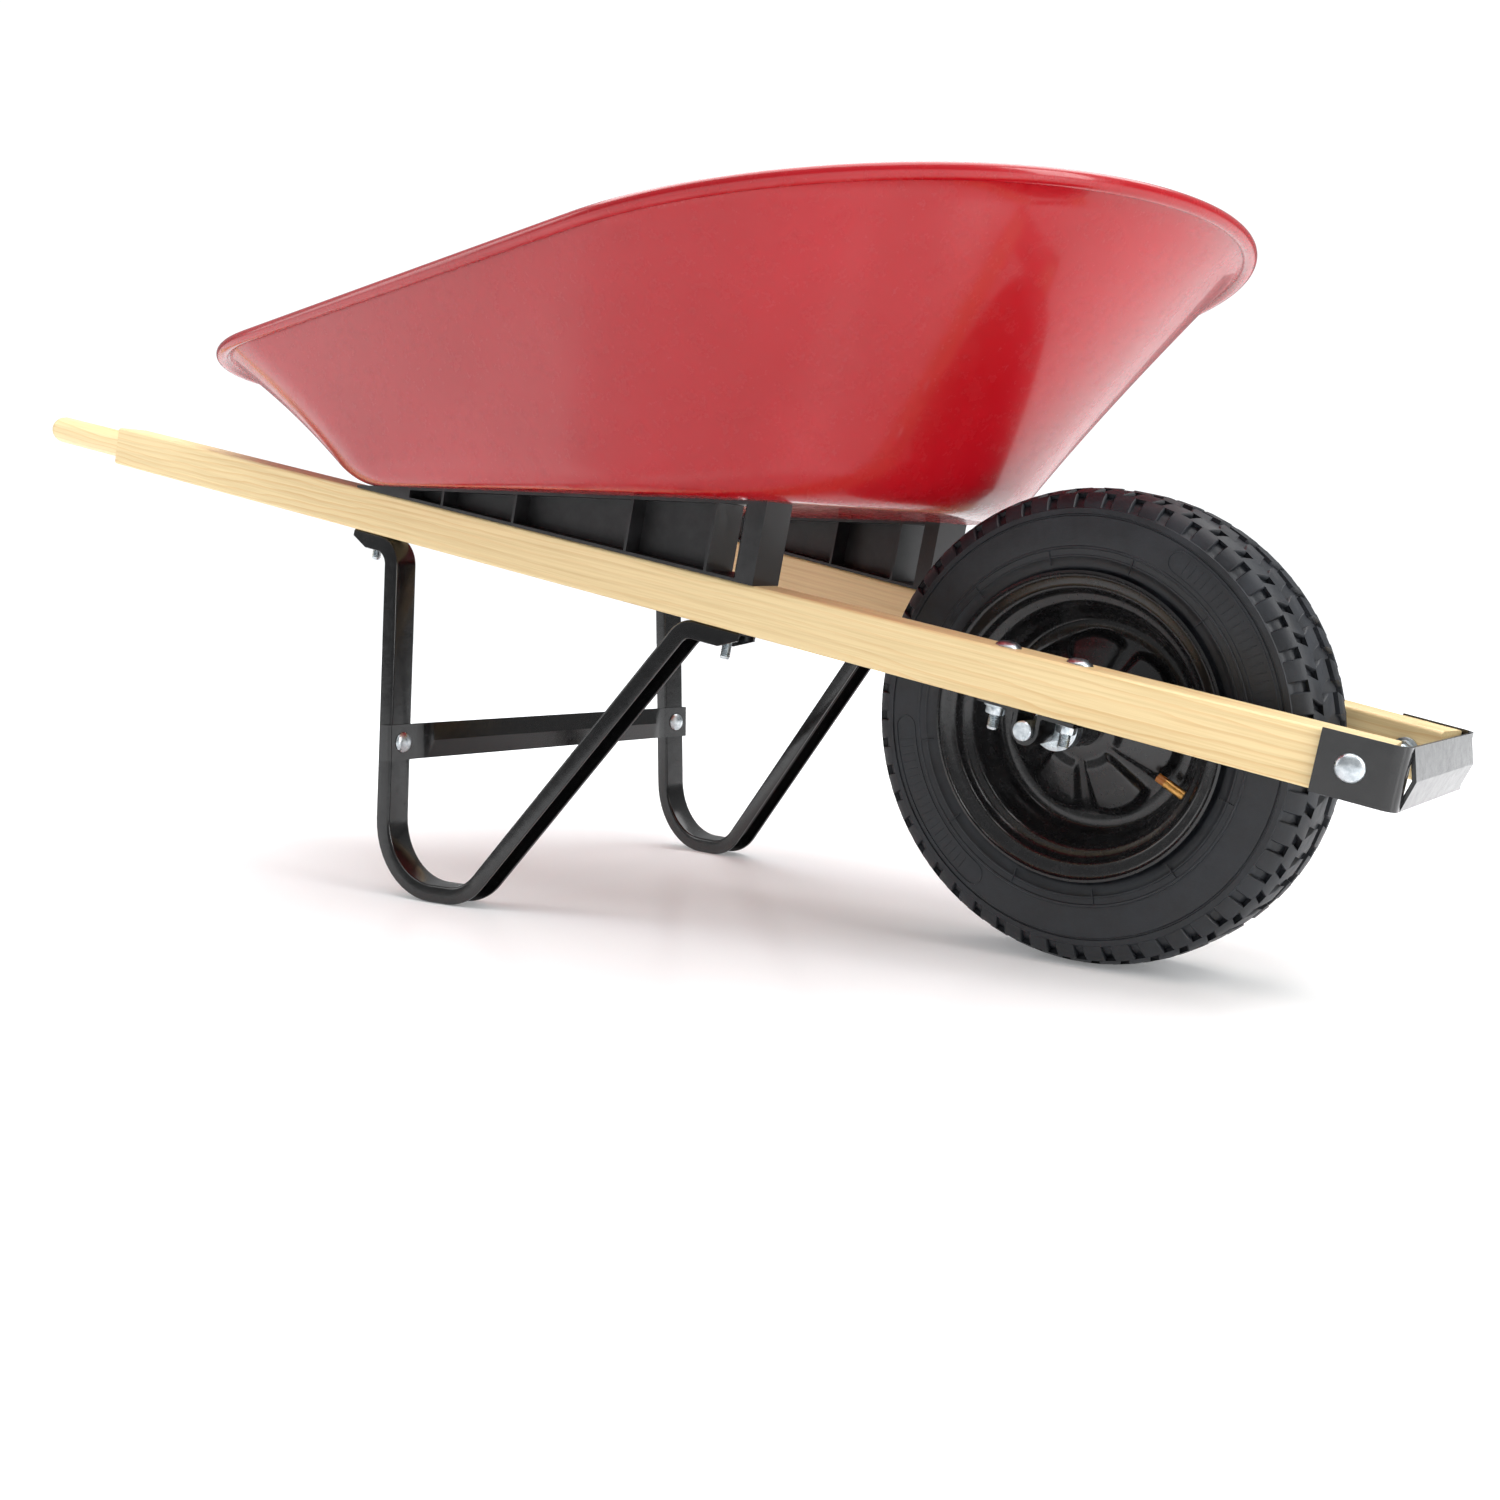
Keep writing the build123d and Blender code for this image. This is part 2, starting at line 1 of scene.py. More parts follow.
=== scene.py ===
from math import atan2, cos, degrees, hypot, pi, radians, sin, tan

import bmesh
import bpy
from mathutils import Matrix, Vector


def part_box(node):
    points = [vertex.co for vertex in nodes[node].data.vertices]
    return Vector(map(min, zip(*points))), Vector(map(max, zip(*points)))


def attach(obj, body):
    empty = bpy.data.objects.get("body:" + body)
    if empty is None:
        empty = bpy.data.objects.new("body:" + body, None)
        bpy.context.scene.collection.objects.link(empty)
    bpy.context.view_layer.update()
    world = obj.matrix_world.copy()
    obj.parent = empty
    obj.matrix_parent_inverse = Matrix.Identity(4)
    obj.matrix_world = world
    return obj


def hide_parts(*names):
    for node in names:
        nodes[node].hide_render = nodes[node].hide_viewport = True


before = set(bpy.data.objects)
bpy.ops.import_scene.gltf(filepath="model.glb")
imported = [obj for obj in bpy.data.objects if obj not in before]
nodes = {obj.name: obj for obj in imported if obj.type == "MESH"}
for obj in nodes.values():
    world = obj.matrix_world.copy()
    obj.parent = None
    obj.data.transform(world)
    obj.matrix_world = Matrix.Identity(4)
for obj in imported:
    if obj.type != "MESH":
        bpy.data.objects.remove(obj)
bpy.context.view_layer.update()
MM = 0.001

tyre_low, tyre_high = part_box("tyre")
AXLE = (tyre_low + tyre_high) / 2
TYRE_RADIUS = (tyre_high.z - tyre_low.z) / 2


# ---- camera ----
CAMERA_PLACE = (1.02993, -1.10344, 0.28096)
CAMERA_YAW, CAMERA_PITCH, CAMERA_ROLL = radians(38.79), radians(1.11), radians(0.38)
CAMERA_SENSOR, CAMERA_LENS = 36.0, 33.21     # millimetres
CAMERA_SHIFT = (-0.00786, -0.10076)


def camera():
    yaw, pitch, roll = CAMERA_YAW, CAMERA_PITCH, CAMERA_ROLL
    ahead = Vector((-sin(yaw) * cos(pitch), cos(yaw) * cos(pitch), sin(pitch)))
    right = Vector((cos(yaw), sin(yaw), 0))
    up = right.cross(ahead)
    right, up = right * cos(roll) + up * sin(roll), up * cos(roll) - right * sin(roll)
    data = bpy.data.cameras.new("camera")
    data.sensor_width = CAMERA_SENSOR
    data.lens = CAMERA_LENS
    data.shift_x, data.shift_y = CAMERA_SHIFT
    data.clip_start = 0.05
    data.clip_end = 60.0
    eye = bpy.data.objects.new("camera", data)
    turn = Matrix((right, up, -ahead)).transposed()
    eye.matrix_world = Matrix.Translation(CAMERA_PLACE) @ turn.to_4x4()
    bpy.context.collection.objects.link(eye)
    bpy.context.scene.camera = eye


# ---- shader helpers ----
class Shader:
    """A material's nodes, added one by one."""

    def __init__(self, name):
        self.material = bpy.data.materials.new(name)
        self.material.use_nodes = True
        self.tree = self.material.node_tree
        self.tree.nodes.clear()
        self.out = self.tree.nodes.new("ShaderNodeOutputMaterial")
        self.bsdf = self.add("BsdfPrincipled")
        self.join(self.bsdf, "BSDF", self.out, "Surface")
        self.place = self.add("TexCoord")

    def add(self, kind, **settings):
        node = self.tree.nodes.new("ShaderNode" + kind)
        for key, value in settings.items():
            setattr(node, key, value)
        return node

    def join(self, a, a_socket, b, b_socket):
        self.tree.links.new(a.outputs[a_socket], b.inputs[b_socket])

    def set(self, node, **values):
        for key, value in values.items():
            node.inputs[key.replace("_", " ")].default_value = value
        return node

    def finish(self, base=None, rough=None, metal=0.0, **values):
        """Sets the shader's own sockets; base and rough may be (node, socket)."""
        for socket, given in (("Base Color", base), ("Roughness", rough)):
            if isinstance(given, tuple) and isinstance(given[0], bpy.types.Node):
                self.join(given[0], given[1], self.bsdf, socket)
            elif given is not None:
                self.bsdf.inputs[socket].default_value = given
        self.bsdf.inputs["Metallic"].default_value = metal
        for key, value in values.items():
            self.bsdf.inputs[key.replace("_", " ")].default_value = value
        return self.material

    def mapped(self, scale=(1, 1, 1), turn=(0, 0, 0), shift=(0, 0, 0), kind="POINT"):
        node = self.add("Mapping", vector_type=kind)
        self.set(node, Location=shift, Rotation=turn, Scale=scale)
        self.join(self.place, "Object", node, "Vector")
        return node

    def noise(self, scale, detail=3.0, rough=0.55, twist=0.0, source=None):
        node = self.add("TexNoise")
        self.set(node, Scale=scale, Detail=detail, Roughness=rough, Distortion=twist)
        if source is None:
            self.join(self.place, "Object", node, "Vector")
        else:
            self.join(source[0], source[1], node, "Vector")
        return node

    def spread(self, source, low, high, to_low, to_high):
        """A value mapped from one range to another, held at its ends."""
        node = self.add("MapRange", clamp=True)
        self.join(source[0], source[1], node, "Value")
        self.set(node, From_Min=low, From_Max=high, To_Min=to_low, To_Max=to_high)
        return node

    def ramp(self, source, *stops):
        node = self.add("ValToRGB")
        self.join(source[0], source[1], node, "Fac")
        bar = node.color_ramp.elements
        while len(bar) < len(stops):
            bar.new(0.5)
        for element, (at, colour) in zip(bar, stops):
            element.position = at
            element.color = (*colour, 1)
        return node

    def math(self, operation, a, b=None, c=None):
        node = self.add("Math", operation=operation)
        for index, value in enumerate((a, b, c)):
            if isinstance(value, tuple):
                self.tree.links.new(value[0].outputs[value[1]], node.inputs[index])
            elif value is not None:
                node.inputs[index].default_value = value
        return node

    def bump(self, *layers):
        """Bump layers of (node, socket, height in metres), the coarsest first."""
        last = None
        for node, socket, height in layers:
            bump = self.set(self.add("Bump"), Strength=1.0, Distance=height)
            self.join(node, socket, bump, "Height")
            if last:
                self.join(last, "Normal", bump, "Normal")
            last = bump
        self.join(last, "Normal", self.bsdf, "Normal")
        return last


# ---- materials ----
def tray_paint():
    s = Shader("tray_paint")
    peel = s.noise(420, 2.0)
    waves = s.noise(9, 2.0)
    dust = s.noise(60, 6.0, 0.7)
    cloud = s.noise(5, 3.0)
    tint = s.ramp((cloud, "Fac"), (0.35, (0.33, 0.002, 0.006)), (0.65, (0.38, 0.003, 0.009)))
    rough = s.spread((dust, "Fac"), 0.35, 0.75, 0.20, 0.34)
    s.bump((waves, "Fac", 0.0012), (peel, "Fac", 0.00004))
    return s.finish(
        (tint, "Color"), (rough, "Result"), Coat_Weight=0.35, Coat_Roughness=0.06, IOR=1.4
    )


def black_enamel(name, tone, low, high):
    s = Shader(name)
    peel = s.noise(300, 3.0)
    runs = s.noise(40, 2.0)
    dust = s.noise(110, 6.0, 0.75)
    clean = (tone, tone, tone * 1.1)
    dusty = (tone * 1.5, tone * 1.5, tone * 1.7)
    colour = s.ramp((dust, "Fac"), (0.45, clean), (0.85, dusty))
    rough = s.spread((dust, "Fac"), 0.35, 0.75, low, high)
    s.bump((runs, "Fac", 0.0003), (peel, "Fac", 0.00006))
    return s.finish((colour, "Color"), (rough, "Result"), Coat_Weight=0.2, Coat_Roughness=0.1)


def pine(name, side):
    """Pale pine sawn along one handle: side is 1 for the left handle and -1 for the right."""
    s = Shader(name)
    foot = AXLE + Vector((0, side * HANDLE_AXIS, HANDLE_OVER_AXLE)) * MM
    along, across, out = handle_axes(side)
    turn = Matrix((along, across, out)).transposed().to_euler()
    board = s.mapped(turn=tuple(turn), shift=tuple(foot), kind="TEXTURE")
    parts = s.add("SeparateXYZ")
    s.join(board, "Vector", parts, "Vector")
    # slow wander of the grain along the board
    slow = s.add("Mapping")
    s.set(slow, Scale=(1.0, 5.0, 5.0))
    s.join(board, "Vector", slow, "Vector")
    drift = s.noise(2.3, 2.0, 0.5, 0.0, (slow, "Vector"))
    # the growth rings stand round a line under the board and a little to one side
    lift = s.math("MULTIPLY_ADD", (drift, "Fac"), 0.045, 0.035)
    y = s.math("ADD", (parts, "Y"), 0.011 * side)
    z = s.math("ADD", (parts, "Z"), (lift, "Value"))
    square = s.math("ADD", squared(s, y), squared(s, z))
    distance = s.math("SQRT", (square, "Value"))
    rings_per_metre = 150.0
    rings = s.math("MULTIPLY", (distance, "Value"), rings_per_metre)
    wobble = s.noise(14, 3.0, 0.5, 0.0, (slow, "Vector"))
    rings = s.math("MULTIPLY_ADD", (wobble, "Fac"), 0.9, (rings, "Value"))
    part = s.math("FRACT", (rings, "Value"))
    late = s.ramp(
        (part, "Value"),
        (0.0, (0.0,) * 3),
        (0.55, (0.12,) * 3),
        (0.86, (0.9,) * 3),
        (0.93, (1.0,) * 3),
        (1.0, (0.0,) * 3),
    )
    fine = s.add("Mapping")
    s.set(fine, Scale=(6.0, 420.0, 420.0))
    s.join(board, "Vector", fine, "Vector")
    fibres = s.noise(1.0, 4.0, 0.6, 0.0, (fine, "Vector"))
    patch = s.noise(3.0, 2.0, 0.5, 0.0, (slow, "Vector"))
    share = s.spread((patch, "Fac"), 0.35, 0.7, 0.22, 0.85)
    depth = s.math("MULTIPLY", (late, "Color"), (share, "Result"))
    mix = s.add("Mix", data_type="RGBA")
    mix.inputs["A"].default_value = (0.86, 0.68, 0.37, 1)
    mix.inputs["B"].default_value = (0.76, 0.50, 0.22, 1)
    s.join(depth, "Value", mix, "Factor")
    speck = s.add("Mix", data_type="RGBA", blend_type="MULTIPLY")
    shade = s.ramp((fibres, "Fac"), (0.3, (0.86, 0.82, 0.75)), (0.6, (1, 1, 1)))
    speck.inputs["Factor"].default_value = 1.0
    s.tree.links.new(mix.outputs["Result"], speck.inputs["A"])
    s.join(shade, "Color", speck, "B")
    rough = s.spread((fibres, "Fac"), 0.3, 0.7, 0.42, 0.6)
    s.bump((fibres, "Fac", 0.00012))
    return s.finish((speck, "Result"), (rough, "Result"), Coat_Weight=0.15, Coat_Roughness=0.25)


def squared(s, value):
    node = s.math("MULTIPLY", (value, "Value"), (value, "Value"))
    return (node, "Value")


def ribbed_plastic():
    s = Shader("wedge_plastic")
    grain = s.noise(900, 3.0, 0.7)
    dust = s.noise(45, 6.0, 0.7)
    colour = s.ramp((dust, "Fac"), (0.4, (0.006, 0.006, 0.0065)), (0.9, (0.03, 0.03, 0.032)))
    rough = s.spread((dust, "Fac"), 0.3, 0.75, 0.34, 0.55)
    s.bump((grain, "Fac", 0.0001))
    return s.finish((colour, "Color"), (rough, "Result"))


def tyre_rubber():
    s = Shader("tyre_rubber")
    grain = s.noise(700, 4.0, 0.7)
    dust = s.noise(24, 6.0, 0.72)
    colour = s.ramp((dust, "Fac"), (0.38, (0.0065, 0.0078, 0.0105)), (0.8, (0.022, 0.026, 0.033)))
    rough = s.spread((dust, "Fac"), 0.3, 0.75, 0.40, 0.62)
    s.bump((dust, "Fac", 0.0003), (grain, "Fac", 0.00012))
    return s.finish((colour, "Color"), (rough, "Result"))


def zinc():
    s = Shader("zinc")
    bloom = s.noise(260, 5.0, 0.7)
    streak = s.noise(90, 4.0)
    colour = s.ramp((bloom, "Fac"), (0.35, (0.42, 0.47, 0.50)), (0.7, (0.72, 0.76, 0.78)))
    rough = s.spread((streak, "Fac"), 0.3, 0.7, 0.22, 0.42)
    s.bump((bloom, "Fac", 0.00008))
    return s.finish((colour, "Color"), (rough, "Result"), metal=1.0)


def brass():
    s = Shader("brass")
    tarnish = s.noise(300, 5.0, 0.7)
    colour = s.ramp((tarnish, "Fac"), (0.35, (0.42, 0.20, 0.05)), (0.7, (0.75, 0.45, 0.15)))
    rough = s.spread((tarnish, "Fac"), 0.3, 0.7, 0.25, 0.5)
    s.bump((tarnish, "Fac", 0.00006))
    return s.finish((colour, "Color"), (rough, "Result"), metal=1.0)


def cap_plastic():
    s = Shader("cap_plastic")
    dust = s.noise(500, 4.0, 0.7)
    colour = s.ramp((dust, "Fac"), (0.4, (0.32, 0.10, 0.012)), (0.8, (0.45, 0.17, 0.03)))
    rough = s.spread((dust, "Fac"), 0.3, 0.7, 0.35, 0.5)
    s.bump((dust, "Fac", 0.00005))
    return s.finish((colour, "Color"), (rough, "Result"))


def finishes():
    frame_paint = black_enamel("frame_paint", 0.003, 0.16, 0.3)
    return {
        "tray": tray_paint(),
        "frame": frame_paint,
        "rim": black_enamel("rim_paint", 0.006, 0.2, 0.34),
        "pine_left": pine("pine_left", 1),
        "pine_right": pine("pine_right", -1),
        "plastic": ribbed_plastic(),
        "rubber": tyre_rubber(),
        "zinc": zinc(),
        "brass": brass(),
        "cap": cap_plastic(),
    }


NODES_IN_FINISH = {
    "tray": "tray",
    "pine_left": "handle_left",
    "pine_right": "handle_right",
    "plastic": "wedge_left wedge_right",
    "frame": "leg_left leg_right leg_brace wheel_guard axle_bracket_left axle_bracket_right",
    "rim": "hub rim_left rim_right",
    "rubber": "tyre inner_tube",
    "brass": "valve_stem",
    "cap": "valve_cap",
    "zinc": "axle axle_spacers bearing_left bearing_right front_tray_bolts rear_tray_bolts "
    "tray_nuts bracket_bolts bracket_nuts guard_bolts guard_nuts brace_bolts brace_nuts",
}
CAD_FINISH = {node: key for key, group in NODES_IN_FINISH.items() for node in group.split()}


def finish_cad(made):
    for name, node in nodes.items():
        finish = made[CAD_FINISH[name]]
        if not node.data.materials:
            node.data.materials.append(finish)
        for slot in node.material_slots:
            slot.material = finish


# ---- mesh helpers ----
def shell(name, rings, closed_profile=False, caps=()):
    """A skin through equal rings of points, each ring a closed loop."""
    mesh = bpy.data.meshes.new(name)
    count = len(rings[0])
    points = [p for ring in rings for p in ring]
    faces = []
    last = len(rings) if closed_profile else len(rings) - 1
    for i in range(last):
        a, b = i * count, (i + 1) % len(rings) * count
        for j in range(count):
            k = (j + 1) % count
            faces.append((a + j, a + k, b + k, b + j))
    for ring, middle in caps:
        points.append(middle)
        start = ring % len(rings) * count
        for j in range(count):
            faces.append((start + j, start + (j + 1) % count, len(points) - 1))
    mesh.from_pydata(points, [], faces)
    return mesh


def piece(mesh, body, finish, stands_for=(), smooth=True, sharp=45):
    """Makes a cleaned mesh a piece on a body; edges sharper than so many degrees stay sharp."""
    tidy = bmesh.new()
    tidy.from_mesh(mesh)
    bmesh.ops.remove_doubles(tidy, verts=tidy.verts, dist=1e-6)
    bmesh.ops.recalc_face_normals(tidy, faces=tidy.faces)
    tidy.to_mesh(mesh)
    tidy.free()
    mesh.polygons.foreach_set("use_smooth", [smooth] * len(mesh.polygons))
    mesh.set_sharp_from_angle(angle=radians(sharp))
    mesh.materials.append(finish)
    thing = bpy.data.objects.new(mesh.name, mesh)
    bpy.context.collection.objects.link(thing)
    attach(thing, body)
    if stands_for:
        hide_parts(*stands_for)
    return thing


# ---- tray ----
# nose, half width, rear, nose radius, rear corner radius, side taper in radians
FLOOR_PLAN = (-118.7, 252.0, -776.0, 227.0, 112.0, radians(0.2))
RIM_PLAN = (111.2, 356.0, -1019.0, 351.0, 223.5, radians(4.17))
FLOOR_HEIGHT, FLOOR_SLOPE = 371.4, -0.076
RIM_HEIGHT, RIM_SLOPE = 607.8, 0.0328
NOSE_TURN = radians(35)
FOOT = 0.12                    # share of the wall that the curved foot takes
WALL_HOLLOW = 0.038            # how far the wall sinks inward, as a share of its spread
BEAD = 6.5
WALL_IN_BEAD = 5.6
SHEET = 1.2
WALL_REACH_OUT, WALL_REACH_IN = 0.985, 0.995
BEAD_START, BEAD_TURN, BEAD_STEPS = -25, 310, 18


def arc(centre, radius, start, end, count):
    turns = [start + (end - start) * i / count for i in range(count)]
    return [centre + Vector((cos(a), sin(a))) * radius for a in turns]


def tray_outline(spread, inset):
    """Half of the plan from the middle of the nose to the middle of the rear."""
    plan = [a + spread * (b - a) for a, b in zip(FLOOR_PLAN, RIM_PLAN)]
    nose, half, rear, nose_radius, rear_radius, taper = plan
    nose, half, rear = nose - inset, half - inset, rear + inset
    nose_radius, rear_radius = nose_radius - inset, rear_radius - inset
    corner_radius = (half - nose_radius * sin(NOSE_TURN)) / (1 - sin(NOSE_TURN))
    nose_centre = Vector((nose - nose_radius, 0))
    corner = nose_centre + Vector((cos(NOSE_TURN), sin(NOSE_TURN))) * (nose_radius - corner_radius)
    side_turn = pi / 2 + taper
    side = corner + Vector((cos(side_turn), sin(side_turn))) * corner_radius
    rear_x = rear + rear_radius
    rear_y = side.y + ((rear_x - side.x) * sin(taper) - rear_radius) / cos(taper)
    rear_centre = Vector((rear_x, rear_y))
    side_end = rear_centre + Vector((cos(side_turn), sin(side_turn))) * rear_radius
    points = arc(nose_centre, nose_radius, 0, NOSE_TURN, 22)
    points += arc(corner, corner_radius, NOSE_TURN, side_turn, 30)
    points += [side.lerp(side_end, i / 24) for i in range(24)]
    points += arc(rear_centre, rear_radius, side_turn, pi, 22)
    rear_end = Vector((rear, rear_y))
    points += [rear_end.lerp(Vector((rear, 0)), i / 12) for i in range(13)]
    return points


def tray_ring(spread, level, inset, lift):
    half = tray_outline(spread, inset)
    plan = half + [Vector((p.x, -p.y)) for p in reversed(half[1:-1])]
    height = FLOOR_HEIGHT + level * (RIM_HEIGHT - FLOOR_HEIGHT) + lift
    slope = FLOOR_SLOPE + level * (RIM_SLOPE - FLOOR_SLOPE)
    shrink = 1 / hypot(1, slope)
    ring = []
    for p in plan:
        x = p.x * shrink
        ring.append(Vector((x * MM + AXLE.x, p.y * MM, (height + slope * x) * MM)))
    return ring


def tray_wall(inset, lift, reach):
    """Rings from the floor's edge up to the bead."""
    rings = []
    for i in range(13):
        t = i / 12
        spread = -FOOT * (1 - t) ** 2 + FOOT * t**2
        level = FOOT * t**2
        rings.append(tray_ring(spread, level, inset + WALL_IN_BEAD * level, lift))
    for i in range(1, 19):
        level = FOOT + (reach - FOOT) * i / 18
        t = (level - FOOT) / (1 - FOOT)
        spread = level - WALL_HOLLOW * 4 * t * (1 - t)
        rings.append(tray_ring(spread, level, inset + WALL_IN_BEAD * level, lift))
    return rings


def floor_rings(edge):
    """Rings that shrink from the floor's edge toward its middle, and that middle."""
    middle = sum(edge, Vector()) / len(edge)
    return [[middle.lerp(p, s) for p in edge] for s in (0.3, 0.55, 0.75, 0.9)], middle


def tray_shell(finish):
    outside = tray_wall(0, 0, WALL_REACH_OUT)
    inside = tray_wall(SHEET, SHEET, WALL_REACH_IN)
    bead = []
    for i in range(BEAD_STEPS + 1):
        turn = radians(BEAD_START - BEAD_TURN * i / BEAD_STEPS)
        bead.append(tray_ring(1, 1, BEAD * cos(turn), BEAD * sin(turn)))
    under, under_middle = floor_rings(outside[0])
    over, over_middle = floor_rings(inside[0])
    rings = under + outside + bead + list(reversed(inside)) + list(reversed(over))
    mesh = shell("tray_shell", rings, caps=((0, under_middle), (-1, over_middle)))
    return piece(mesh, "frame", finish, ("tray",))


# ---- wheel ----
TYRE_HALF = 46.5
TREAD_BASE = 4.6               # depth of the grooves between the tread blocks
TREAD_PITCHES = 47
SIDE_START = 155.0             # the sidewall's widest place, from the axle
TREAD_SQUARE, CARCASS_SQUARE = 4.0, 3.6      # how square the shoulders are
SIDEWALL = 46.3                # from the middle of the wheel to the flat of the sidewall
LABEL_MIDDLES, LABEL_REACH = (29, 209), 26   # degrees round the wheel
LABEL_INNER, LABEL_OUTER = 152.5, 171.5


def turned(name, profile, count=180):
    """A closed profile of (sideways, radius) points turned about the axle."""
    rings = []
    for y, r in profile:
        turns = [2 * pi * j / count for j in range(count)]
        rings.append([AXLE + Vector((r * cos(a), y, r * sin(a))) * MM for a in turns])
    return shell(name, rings, closed_profile=True)


def crown(turn, half, outer, power):
    """A point of the tyre's rounded outline: turn 0 is the sidewall, a quarter turn the tread."""
    y = half * abs(cos(turn)) ** (2 / power)
    r = SIDE_START + (outer - SIDE_START) * abs(sin(turn)) ** (2 / power)
    return (y if cos(turn) > 0 else -y), r


def tread_line(share, rise=0.0):
    """A place on or over the tread, by share of the way from its middle to the side."""
    turn = pi / 2 * (1 - share)
    step = 0.004
    here, ahead, behind = (
        Vector(crown(at, TYRE_HALF, TYRE_RADIUS / MM, TREAD_SQUARE))
        for at in (turn, turn - step, turn + step)
    )
    run = (ahead - behind).normalized()
    out = Vector((-run.y, run.x))
    return here + out * rise


def tyre_profile():
    """The carcass under the tread blocks, its sidewall rings and beads, and its inside."""
    outside = []
    for i in range(25):
        turn = pi / 2 - (pi / 2 - 0.09) * i / 24
        outside.append(crown(turn, TYRE_HALF - 0.7, TYRE_RADIUS / MM - TREAD_BASE, CARCASS_SQUARE))
    outside = [(y, r) for y, r in outside if r > 182]
    side = [(45.0, 181.2), (46.1, 180.6), (46.2, 176.2), (45.0, 175.6), (45.0, 174.6)]
    side += [(46.1, 174.0), (46.3, 166.0), (46.3, 152.0), (46.0, 149.5), (46.9, 148.9)]
    side += [(46.9, 147.4), (45.9, 146.8), (45.3, 142.0), (46.0, 141.5), (45.9, 140.4)]
    side += [(44.8, 139.8), (43.6, 136.0), (42.6, 133.0), (42.3, 131.4), (41.2, 130.2)]
    side += [(40.2, 129.0), (40.0, 118.0)]
    half = outside + side
    inner = [(31.0, 118.0), (33.0, 130.0), (40.0, 160.0), (32.0, 180.0), (0.0, 188.5)]
    loop = half + inner
    loop += [(-y, r) for y, r in reversed(inner[:-1])]
    loop += [(-y, r) for y, r in reversed(half[1:])]
    return loop


def tread_block(verts, faces, start, end, turn, length, skew=0.0, steps=6, edge=0.028):
    """One rubber block between two shares of the tread, length in millimetres round the tyre."""
    sink = TREAD_BASE + 1.2
    rows = []
    bevel = 1.0
    span = end - start
    levels = ((0.0, -sink), (0.0, -bevel), (1.0, 0.0))
    for inset, rise in levels:
        ring = []
        a, b = start + edge * inset, end - edge * inset
        half = length / 2 - bevel * inset
        top = [(a + (b - a) * i / steps, 1) for i in range(steps + 1)]
        path = top + [(share, -1) for share, _ in reversed(top)]
        for share, way in path:
            y, r = tread_line(abs(share), rise)
            y = y if share >= 0 else -y
            lean = skew * (share - (start + end) / 2) / max(abs(span), 0.01)
            angle = turn + (way * half + lean) / (TYRE_RADIUS / MM)
            ring.append(Vector((r * cos(angle), y, r * sin(angle))) * MM)
        rows.append(ring)
    first = len(verts)
    count = 2 * (steps + 1)
    for ring in rows:
        verts.extend(ring)
    for level in range(len(rows) - 1):
        for j in range(count):
            k = (j + 1) % count
            low, high = first + level * count, first + (level + 1) * count
            faces.append((low + j, low + k, high + k, high + j))
    for level in (0, len(rows) - 1):
        base = first + level * count
        for i in range(steps):
            faces.append((base + i, base + i + 1, base + count - 2 - i, base + count - 1 - i))


def tread_unit():
    """The blocks of one pitch of the tread, drawn with the axle at the origin."""
    verts, faces = [], []
    pitch = 2 * pi / TREAD_PITCHES
    for side in (1, -1):
        # shoulder block, over the corner of the tread
        tread_block(verts, faces, side * 0.47, side * 0.80, 0.0, 18.5, 0.0, 8)
        # second row, half a pitch on and leaning
        tread_block(verts, faces, side * 0.235, side * 0.43, pitch * 0.36, 19.5, side * 5.0, 4)
        tread_block(verts, faces, side * 0.035, side * 0.205, pitch * 0.80, 17.5, side * -6.0, 4)
    mesh = bpy.data.meshes.new("tread_unit")
    mesh.from_pydata(verts, [], faces)
    return mesh


def copying_tree(name, inputs):
    """A node tree for copies of a unit in one finish, with more named inputs before those."""
    tree = bpy.data.node_groups.new(name, "GeometryNodeTree")
    for label, kind in inputs + [("Unit", "Object"), ("Finish", "Material")]:
        tree.interface.new_socket(label, in_out="INPUT", socket_type="NodeSocket" + kind)
    tree.interface.new_socket("Geometry", in_out="OUTPUT", socket_type="NodeSocketGeometry")
    return tree, tree.nodes.new("NodeGroupInput")


def set_down(tree, given, points, turn):
    """Ends a tree: a turned copy of the unit on each point, made real, in its finish."""
    add, link = tree.nodes.new, tree.links.new
    shape = add("GeometryNodeObjectInfo")
    link(given.outputs["Unit"], shape.inputs["Object"])
    copies = add("GeometryNodeInstanceOnPoints")
    link(points, copies.inputs["Points"])
    link(shape.outputs["Geometry"], copies.inputs["Instance"])
    link(turn, copies.inputs["Rotation"])
    real = add("GeometryNodeRealizeInstances")
    link(copies.outputs["Instances"], real.inputs["Geometry"])
    coat = add("GeometryNodeSetMaterial")
    link(real.outputs["Geometry"], coat.inputs["Geometry"])
    link(given.outputs["Finish"], coat.inputs["Material"])
    link(coat.outputs["Geometry"], add("NodeGroupOutput").inputs["Geometry"])


